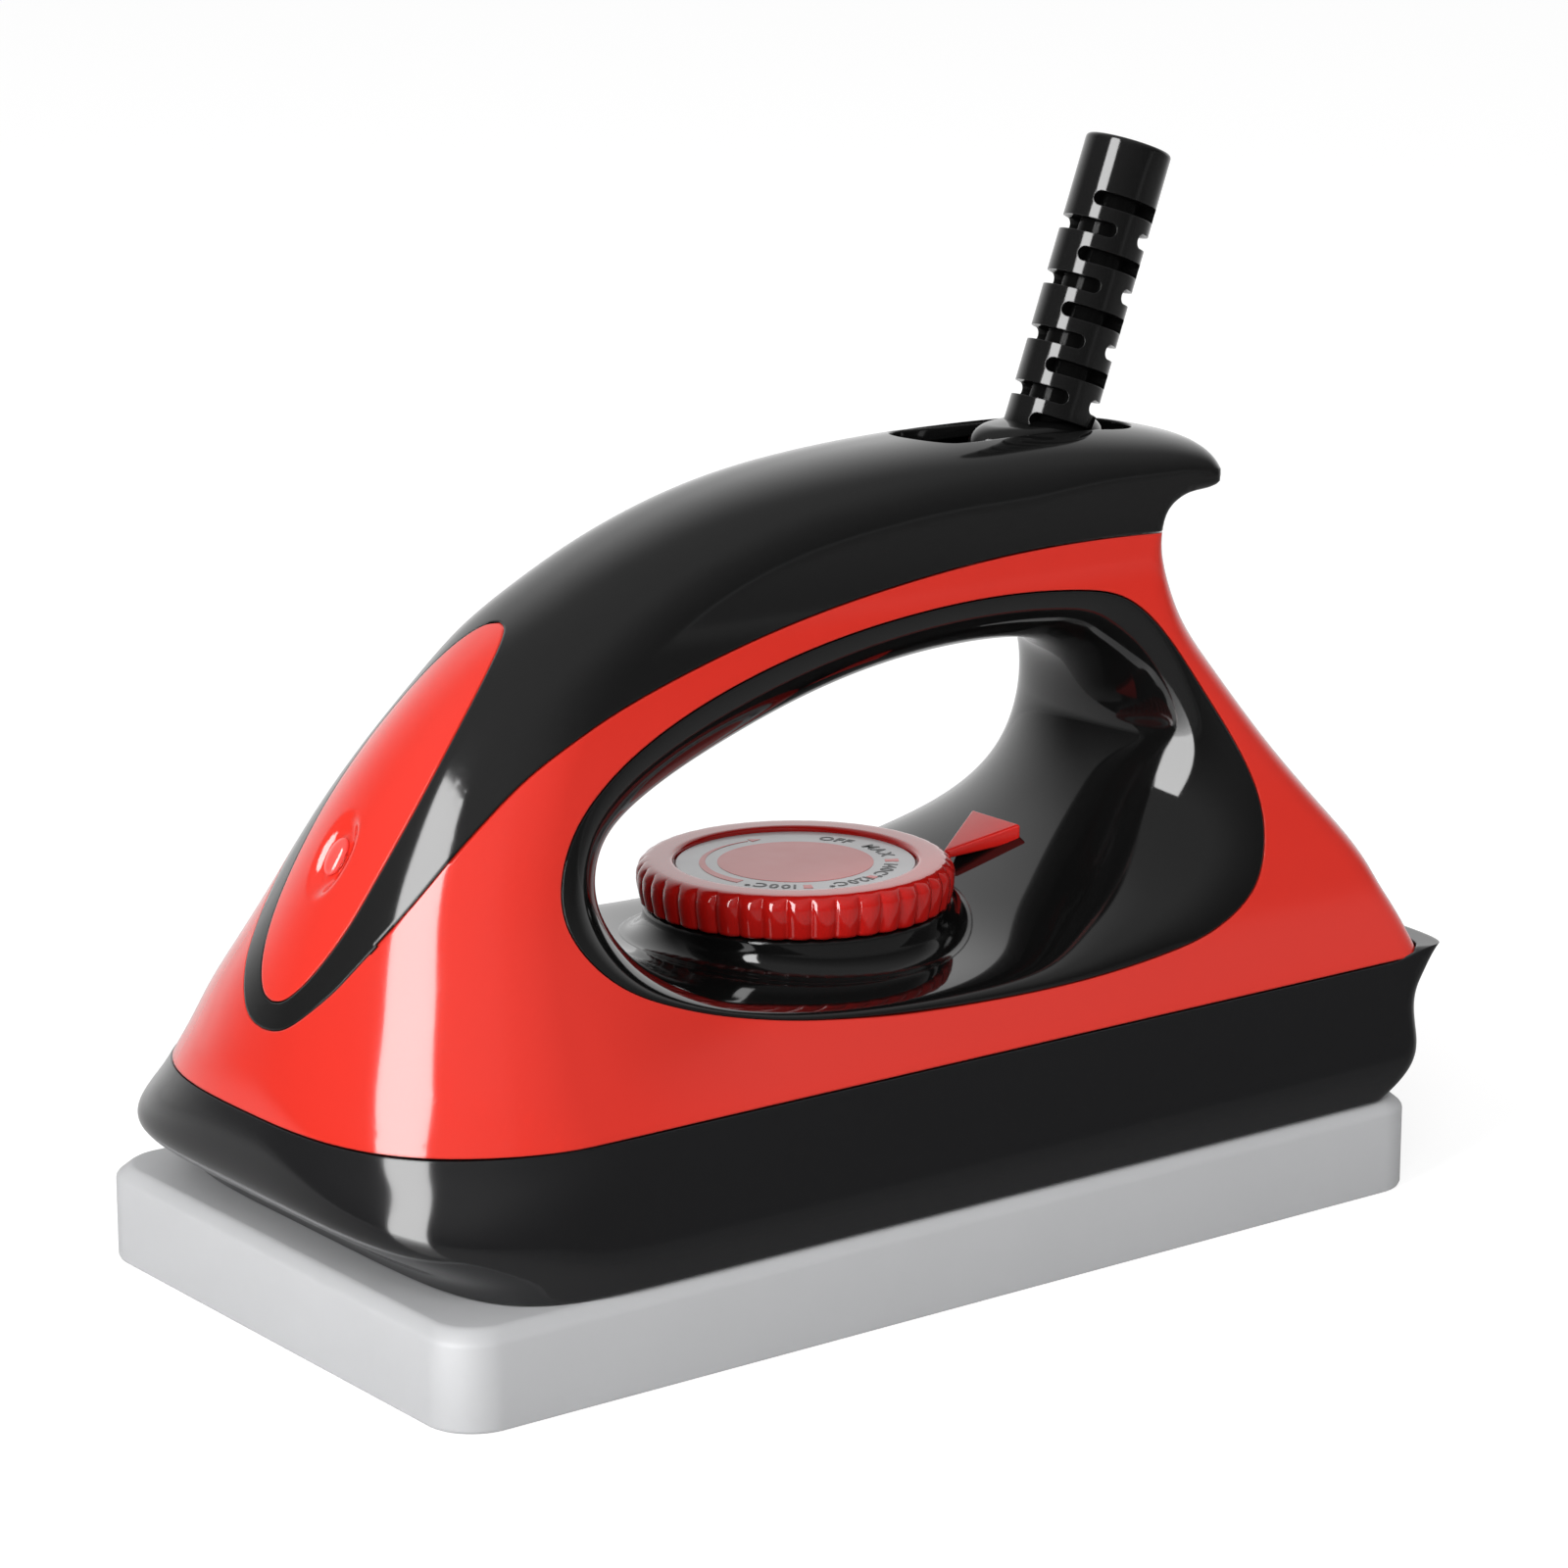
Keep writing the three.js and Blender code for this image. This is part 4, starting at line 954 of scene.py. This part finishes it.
def make_skirt():
    low = SKIRT_SECTIONS[0][0]
    rings = [skirt_ring(z) for z in np.linspace(low, SKIRT_TOP, 56)]
    skirt = mesh_object("base_skirt_visual", *closed_loft(rings))
    core = [skirt_ring(z, WALL, False) for z in np.linspace(low, SKIRT_CEILING, 24)]
    core[0][:, 2] -= 2
    combine(skirt, tool("skirt_core", *closed_loft(core)), "DIFFERENCE")
    step = CELL["over_skirt"]
    over = SKIRT_TOP + 0.05
    region = ((-56, -104, over - 1.5 * step), (56, 110, 46))
    combine(skirt, skin_solid("over_skirt", -LIP["clearance"], step, region, False), "DIFFERENCE")
    finish_piece(skirt, "housing", "skirt_black", SKIRT_BLACK, "base_skirt", edges=32)


def rounded_ring(half_x, half_y, radius, z, steps=20):
    points = []
    for k, (sx, sy) in enumerate(((1, -1), (1, 1), (-1, 1), (-1, -1))):
        for turn in np.linspace(0, math.pi / 2, steps):
            a = -math.pi / 2 + k * math.pi / 2 + turn
            x = sx * (half_x - radius) + radius * math.cos(a)
            points.append((x, sy * (half_y - radius) + radius * math.sin(a), z))
    return np.array(points)


def make_sole():
    height = SOLE["height"]
    chamfer = SOLE["chamfer"]
    profile = [(0.6, 0), (0.2, 0.12), (0, 0.6), (0, height - chamfer - 0.5), (0.06, height - chamfer - 0.1)]
    profile += [(0.3, height - chamfer + 0.3), (chamfer - 0.3, height - 0.35), (chamfer + 0.1, height - 0.07)]
    profile += [(chamfer + 0.6, height)]
    rings = []
    for inset, z in profile:
        half_x = SOLE["width"] / 2 - inset
        rings.append(rounded_ring(half_x, SOLE["length"] / 2 - inset, SOLE["corner"] - inset / 2, z))
    sole = mesh_object("sole_plate_visual", *closed_loft(rings))
    finish_piece(sole, "housing", "sole_aluminium", ALUMINIUM, "sole_plate", edges=50)


# ---------- knob, dial and pointer ----------
def turned(profile, sides, groove=0.0, count=0):
    """A closed turned mesh from radius, height and groove share rows, about the knob's axis."""
    angle = full_turn(sides)
    wave = 1 - np.abs(np.cos(count * angle / 2)) ** 0.6
    rings = []
    for radius, z, share in profile:
        r = radius - groove * share * wave
        y = DECK_CENTRE_Y + r * np.sin(angle)
        rings.append(np.column_stack([r * np.cos(angle), y, np.full(sides, z)]))
    return closed_loft(rings)


def arc(centre_r, centre_z, radius, start, stop, steps):
    return [
        (centre_r + radius * math.cos(a), centre_z + radius * math.sin(a))
        for a in np.radians(np.linspace(start, stop, steps))
    ]


def make_knob():
    radius = KNOB["radius"]
    bottom = KNOB["bottom"]
    top = KNOB["top"]
    foot = radius - 0.5
    profile = [(2, bottom, 0), (foot - 1.6, bottom, 0)]
    profile += [(r, z, 1) for r, z in arc(foot - 0.9, bottom + 0.9, 0.9, -80, 0, 6)]
    profile += [(radius - 0.15, top - 4.5, 1), (radius, top - 3.4, 1)]
    crown = arc(radius - 2.4, top - 2.4, 2.4, 6, 90, 13)
    profile += [(r, z, 1 - 0.9 * smooth_step((z - (top - 1.3)) / 1.3)) for r, z in crown]
    profile += [(radius - 3.4, top + 0.02, 0), (DIAL["radius"] + 1.4, top, 0)]
    profile += [(r, z, 0) for r, z in arc(DIAL["radius"] + 1.0, top - 0.7, 0.7, 90, 178, 6)]
    profile += [(DIAL["radius"] + 0.25, 57.6, 0), (2, 57.6, 0)]
    knob = mesh_object("knob_visual", *turned(profile, 1000, KNOB["groove"], KNOB["flutes"]))
    finish_piece(knob, "knob", "knob_red", KNOB_RED, "knob", edges=48)

    r = DIAL["radius"]
    low = DIAL["bottom"]
    high = DIAL["top"]
    rows = [(1, low, 0), (r - 0.2, low, 0), (r, low + 0.2, 0)]
    rows += [(r, high - 0.12, 0), (r - 0.12, high, 0), (1, high, 0)]
    disc = mesh_object("dial_disc_visual", *turned(rows, 160))
    finish_piece(disc, "knob", "dial_silver", SILVER, "dial_disc", edges=40)
    centre = DIAL["centre"]
    rows = [(1, high - 0.05, 0), (centre, high - 0.05, 0), (centre, high + 0.05, 0), (1, high + 0.05, 0)]
    middle = mesh_object("dial_centre", *turned(rows, 120))
    finish_piece(middle, "knob", "dial_silver", DIAL_RED, edges=40)


PRINT_Z = DIAL["top"] + 0.01
PRINT_HEIGHT = 0.05


def dial_point(radius, degrees):
    """A point of the dial, degrees clockwise from the pointer."""
    a = math.radians(degrees)
    return radius * math.sin(a), DECK_CENTRE_Y + radius * math.cos(a)


def print_band(inner, outer, degrees):
    """A printed band between two radii that vary along it."""
    n = len(degrees)
    loop = [dial_point(r, d) for r, d in zip(outer, degrees)]
    loop += [dial_point(r, d) for r, d in zip(inner[::-1], degrees[::-1])]
    low = [(x, y, PRINT_Z) for x, y in loop]
    high = [(x, y, PRINT_Z + PRINT_HEIGHT) for x, y in loop]
    m = 2 * n
    faces = [[i, (i + 1) % m, m + (i + 1) % m, m + i] for i in range(m)]
    for i in range(n - 1):
        quad = [i, i + 1, m - 2 - i, m - 1 - i]
        faces.append(quad[::-1])
        faces.append([m + k for k in quad])
    points = low + high
    return np.array(points), outward(points, faces)


def join_parts(name, parts):
    points = []
    faces = []
    for part_points, part_faces in parts:
        faces += [[i + len(points) for i in f] for f in part_faces]
        points += list(map(tuple, part_points))
    return mesh_object(name, points, faces)


def letters(text, degrees):
    """Raised letters along the dial, their tops outward, centred at an angle."""
    size = LETTER["size"]
    parts = []
    widths = []
    for letter in text:
        curve = bpy.data.curves.new("letter", "FONT")
        curve.body = letter
        curve.size = size
        curve.extrude = PRINT_HEIGHT / 2
        curve.offset = LETTER["bold"]
        curve.resolution_u = 3
        obj = in_scene("letter", curve)
        mesh = evaluated_mesh(obj)
        p = np.array([v.co for v in mesh.vertices], float).reshape(-1, 3)
        p[:, 0] -= p[:, 0].min()
        widths.append(p[:, 0].max())
        parts.append((p, [list(f.vertices) for f in mesh.polygons]))
        bpy.data.objects.remove(obj)
        bpy.data.meshes.remove(mesh)
    space = LETTER["space"] * size
    at = -(sum(widths) + space * (len(text) - 1)) / 2
    placed = []
    middle = LETTER["radius"] + size * 0.35
    for (p, faces), width in zip(parts, widths):
        a = math.radians(degrees) + (at + width / 2) / middle
        x = p[:, 0] - width / 2
        r = LETTER["radius"] + p[:, 1]
        px = x * math.cos(a) + r * math.sin(a)
        py = -x * math.sin(a) + r * math.cos(a)
        z = PRINT_Z + PRINT_HEIGHT / 2 + p[:, 2]
        placed.append((np.column_stack([px, DECK_CENTRE_Y + py, z]), faces))
        at += width + space
    return placed


def make_dial_print():
    """The dial's figures and marks, each at its degrees clockwise from the pointer."""
    inks = []
    for text, degrees in DIAL_TEXT:
        inks += letters(text, degrees)
    finish_piece(join_parts("dial_figures", inks), "knob", "dial_silver", INK)

    marks = []
    squares = ((34, 2.6, 14.3, 16.5), (75, 2.2, 14.5, 16.1), (120, 2.6, 14.4, 16.3))
    for degrees, half_turn, inner, outer in squares:
        span = np.linspace(degrees - half_turn, degrees + half_turn, 5)
        marks.append(print_band(np.full(5, inner), np.full(5, outer), span))
    start, stop = 163, 276
    sweep = np.linspace(start, stop, 60)
    thin = 0.8 * (stop - sweep) / (stop - start) + 0.07
    marks.append(print_band(14.9 - thin, 14.9 + thin, sweep))
    taper = np.linspace(0.85, 0.03, 6)
    marks.append(print_band(15.1 - taper, 15.1 + taper, np.linspace(stop + 2, stop + 9, 6)))
    finish_piece(join_parts("dial_marks", marks), "knob", "dial_silver", DIAL_RED)


def make_pointer():
    front = {"y": 35.2, "top": 55.7, "low": 54.2, "half": 0.5}
    rear = {"y": 46.0, "top": 59.7, "low": 56.6, "half": 6.3}
    points = []
    for level in ("low", "top"):
        for end, sign in ((front, -1), (front, 1), (rear, 1), (rear, -1)):
            points.append((sign * end["half"], end["y"], end[level]))
    faces = [[0, 1, 5, 4], [1, 2, 6, 5], [2, 3, 7, 6], [3, 0, 4, 7], [3, 2, 1, 0], [4, 5, 6, 7]]
    pointer = mesh_object("dial_pointer_visual", points, outward(points, faces))
    bevel = pointer.modifiers.new("bevel", "BEVEL")
    bevel.width = 0.55
    bevel.segments = 5
    bevel.limit_method = "NONE"
    mesh = evaluated_mesh(pointer)
    pointer.modifiers.clear()
    pointer.data = mesh
    finish_piece(pointer, "housing", "pointer_red", POINTER_RED, "dial_pointer", edges=60)


# ---------- cord guard ----------
def guard_slot(name, facing, z, span):
    """A slot across the guard with round ends, facing a direction, as a cutter."""
    half = GUARD["slot"] / 2
    reach = math.radians(span) * GUARD["radius"]
    across = np.concatenate([
        -reach + half * (1 - np.cos(np.linspace(0.12, math.pi / 2, 8))),
        np.linspace(-reach + half, reach - half, 25)[1:-1],
        reach - half * (1 - np.cos(np.linspace(math.pi / 2, 0.12, 8))),
    ])
    inset = np.minimum(across + reach, reach - across)
    tall = np.sqrt(np.maximum(half**2 - np.maximum(half - inset, 0) ** 2, 0))
    turn = facing + across / GUARD["radius"]
    rings = []
    for radius in (GUARD["floor"], 5.0, 6.0, 7.4, 12.0):
        side = np.column_stack([radius * np.cos(turn), radius * np.sin(turn)])
        low = np.column_stack([side, z - tall])
        high = np.column_stack([side, z + tall])[::-1]
        rings.append(np.vstack([low, high]))
    count = len(rings[0])
    points = np.vstack(rings)
    faces = grid_faces(len(rings), count, close_columns=True).tolist()
    n = count // 2
    for start in (0, (len(rings) - 1) * count):
        for i in range(n - 1):
            quad = [start + i, start + i + 1, start + count - 2 - i, start + count - 1 - i]
            faces.append(quad[::-1] if start == 0 else quad)
    return tool(name, points, outward(points, faces))


def make_guard():
    inner = CORD_RADIUS + GAP
    length = GUARD["length"]
    radius = GUARD["radius"]
    profile = [(inner, -7.4)]
    profile += arc(0, 0, GUARD["ball"], -56, 33, 22)
    neck = natural([0, 1, 2, 3, 4], [(7.38, 4.8), (7.24, 6), (7.18, 7.4), (7.15, 8.9), (radius, 10.5)])
    profile += [tuple(row) for row in neck(np.linspace(0.15, 4, 14))]
    profile += [(radius, z) for z in np.linspace(12, length - 0.9, 12)]
    profile += arc(radius - 0.7, length - 0.7, 0.7, 10, 90, 6)
    profile += [(inner + 0.4, length), (inner, length - 0.4)]
    angle = full_turn(128)
    rings = [np.column_stack([r * np.cos(angle), r * np.sin(angle), np.full(128, z)]) for r, z in profile]
    points = np.vstack(rings)
    faces = grid_faces(len(rings), 128, close_rows=True, close_columns=True).tolist()
    guard = mesh_object("cord_guard_visual", points, outward(points, faces))
    for row in range(9):
        z = GUARD_FIRST - row * GUARD_PITCH / 2
        start = GUARD_TURN + (math.pi / 2 if row % 2 else 0)
        span = 72 if row % 2 else 60
        for side in (0, 1):
            combine(guard, guard_slot(f"slot_{row}_{side}", start + side * math.pi, z, span), "DIFFERENCE")
    guard.data.transform(Matrix.Translation(PIVOT) @ Matrix.Rotation(-math.radians(GUARD["lean"]), 4, "X"))
    finish_piece(guard, "cord_guard", "guard_rubber", GUARD_BLACK, "cord_guard", edges=34)


def make_guard_foot():
    """The barrel under the guard that fills the slot: a long round-edged dome."""
    low = FOOT["low"]
    top = FOOT["top"]
    edge = FOOT["round"]
    profile = [(1 - edge / FOOT["half_y"] * (1 - math.sin(a)), low + edge * (1 - math.cos(a)))
               for a in np.linspace(0, math.pi / 2, 8)]
    profile += [(1 - edge / FOOT["half_y"] * (1 - math.cos(a)), top - edge * (1 - math.sin(a)))
                for a in np.linspace(0, math.pi / 2, 14)]
    profile += [(0.4, top + 0.25), (0.2, top + 0.4)]
    angle = full_turn(120)
    rings = []
    for share, z in profile:
        x = FOOT["half_x"] * share * np.cos(angle)
        rings.append(np.column_stack([x, PIVOT.y + FOOT["half_y"] * share * np.sin(angle), np.full(120, z)]))
    foot = mesh_object("guard_foot_visual", *closed_loft(rings))
    finish_piece(foot, "cord_guard", "guard_rubber", GUARD_BLACK, edges=50)


make_housing()
make_slot_tray()
make_lens()
make_liner()
make_skirt()
make_sole()
make_knob()
make_dial_print()
make_pointer()
make_guard()
make_guard_foot()

# ---------- stage ----------
def ray_mix(tree, ray, otherwise, chosen):
    """A shader that is one thing for a kind of ray and another for the rest."""
    mix = add_node(tree, "MixShader", Fac=add_node(tree, "LightPath").outputs[ray])
    tree.links.new(otherwise, mix.inputs[1])
    tree.links.new(chosen, mix.inputs[2])
    return mix.outputs["Shader"]


def make_stage():
    """A white floor that is matt for the light and darker in reflections, lighter on the iron's far side."""
    floor = mesh_object("floor", [(-4, -4, 0), (4, -4, 0), (4, 4, 0), (-4, 4, 0)], [(0, 1, 2, 3)])
    material = bpy.data.materials.new("floor")
    material.use_nodes = True
    tree = material.node_tree
    matt = tree.nodes["Principled BSDF"]
    feed(tree, matt, Base_Color=(0.9, 0.9, 0.9, 1), Roughness=0.6)
    across = add_node(tree, "SeparateXYZ", Vector=add_node(tree, "NewGeometry").outputs["Position"])
    level = add_node(tree, "MapRange", Value=across.outputs["X"], From_Min=0.0, From_Max=-0.35)
    feed(tree, level, To_Min=0.3, To_Max=0.9)
    dim = add_node(tree, "BsdfPrincipled", Base_Color=level.outputs["Result"], Roughness=0.14)
    glow = add_node(tree, "Emission", Strength=0.72)
    shade = add_node(tree, "BsdfDiffuse", Color=(0.4, 0.4, 0.4, 1))
    seen = add_node(tree, "AddShader")
    tree.links.new(glow.outputs["Emission"], seen.inputs[0])
    tree.links.new(shade.outputs["BSDF"], seen.inputs[1])
    other = ray_mix(tree, "Is Glossy Ray", matt.outputs["BSDF"], dim.outputs["BSDF"])
    final = ray_mix(tree, "Is Camera Ray", other, seen.outputs["Shader"])
    feed(tree, tree.nodes["Material Output"], Surface=final)
    floor.data.materials.append(material)


def add_light(name, location, target, size_x, size_y, power):
    data = bpy.data.lights.new(name, "AREA")
    data.shape = "RECTANGLE"
    data.size = size_x
    data.size_y = size_y
    data.energy = power
    lamp = in_scene(name, data)
    lamp.location = location
    lamp.rotation_euler = (Vector(target) - Vector(location)).to_track_quat("-Z", "Y").to_euler()
    return lamp


def studio_room(tree):
    """What shiny surfaces see: a dark room, lighter overhead and white behind the iron's far side."""
    place = add_node(tree, "TexCoord").outputs["Generated"]
    height = add_node(tree, "SeparateXYZ", Vector=place).outputs["Z"]
    lift = add_node(tree, "MapRange", Value=height, From_Min=-1)
    ramp = add_node(tree, "ValToRGB", Fac=lift.outputs["Result"])
    stops = ramp.color_ramp.elements
    for at, level in ((0.0, 0.3), (0.49, 0.3), (0.515, 0.07), (0.6, 0.1), (0.74, 0.18), (0.9, 0.36)):
        stops.new(at).color = (level, level, level, 1)
    stops.remove(stops[-1])
    stops.remove(stops[0])
    facing = add_node(tree, "VectorMath")
    facing.operation = "DOT_PRODUCT"
    facing.inputs[1].default_value = FAR_SIDE
    tree.links.new(place, facing.inputs[0])
    far = add_node(tree, "MapRange", Value=facing.outputs["Value"], From_Min=0.2, From_Max=0.9)
    far.interpolation_type = "SMOOTHSTEP"
    mix = add_node(tree, "MixRGB", Color1=ramp.outputs["Color"], Color2=(1, 1, 1, 1))
    feed(tree, mix, Fac=far.outputs["Result"])
    return add_node(tree, "Background", Color=mix.outputs["Color"]).outputs["Background"]


make_stage()
world = bpy.data.worlds.new("studio")
world.use_nodes = True
tree = world.node_tree
white = tree.nodes["Background"]
feed(tree, white, Color=(1, 1, 1, 1), Strength=1.0)
soft = add_node(tree, "Background", Color=(1, 1, 1, 1), Strength=0.6)
lit = ray_mix(tree, "Is Glossy Ray", soft.outputs["Background"], studio_room(tree))
lit = ray_mix(tree, "Is Camera Ray", lit, white.outputs["Background"])
feed(tree, tree.nodes["World Output"], Surface=lit)
bpy.context.scene.world = world
fill = add_light("fill", (1.1, -0.75, 1.0), (0, 0, 0.06), 0.9, 0.9, 9.6)
fill.visible_glossy = False
front = add_light("front", (0.36, -1.58, 1.0), (0.0, 0, 1.0), 0.5, 2.0, 28)
front.visible_glossy = False
strip = add_light("strip", (0.30, -1.33, 1.0), (0.0, 0, 1.0), 0.7, 2.0, 50)
strip.visible_diffuse = False

camera_data = bpy.data.cameras.new("camera")
camera_data.lens = 110.105
camera_data.sensor_width = 36
camera_data.clip_start = 0.01
camera = in_scene("camera", camera_data)
azimuth = math.radians(52.827)
elevation = math.radians(14.0)
back = Vector((
    math.sin(azimuth) * math.cos(elevation),
    -math.cos(azimuth) * math.cos(elevation),
    math.sin(elevation),
))
camera.location = Vector((0.5883, -0.4440, 0.2559))
camera.rotation_euler = (-back).to_track_quat("-Z", "Y").to_euler()
bpy.context.scene.camera = camera
bpy.context.scene.view_settings.view_transform = "Standard"

for obj in scratch:
    bpy.data.objects.remove(obj)
for name, node in frame["nodes"].items():
    slot = next(p["material_slot"] for p in frame["record"]["subparts"] if p["node"] == name)
    node.data.materials.clear()
    node.data.materials.append(SLOT_MATERIAL[slot])
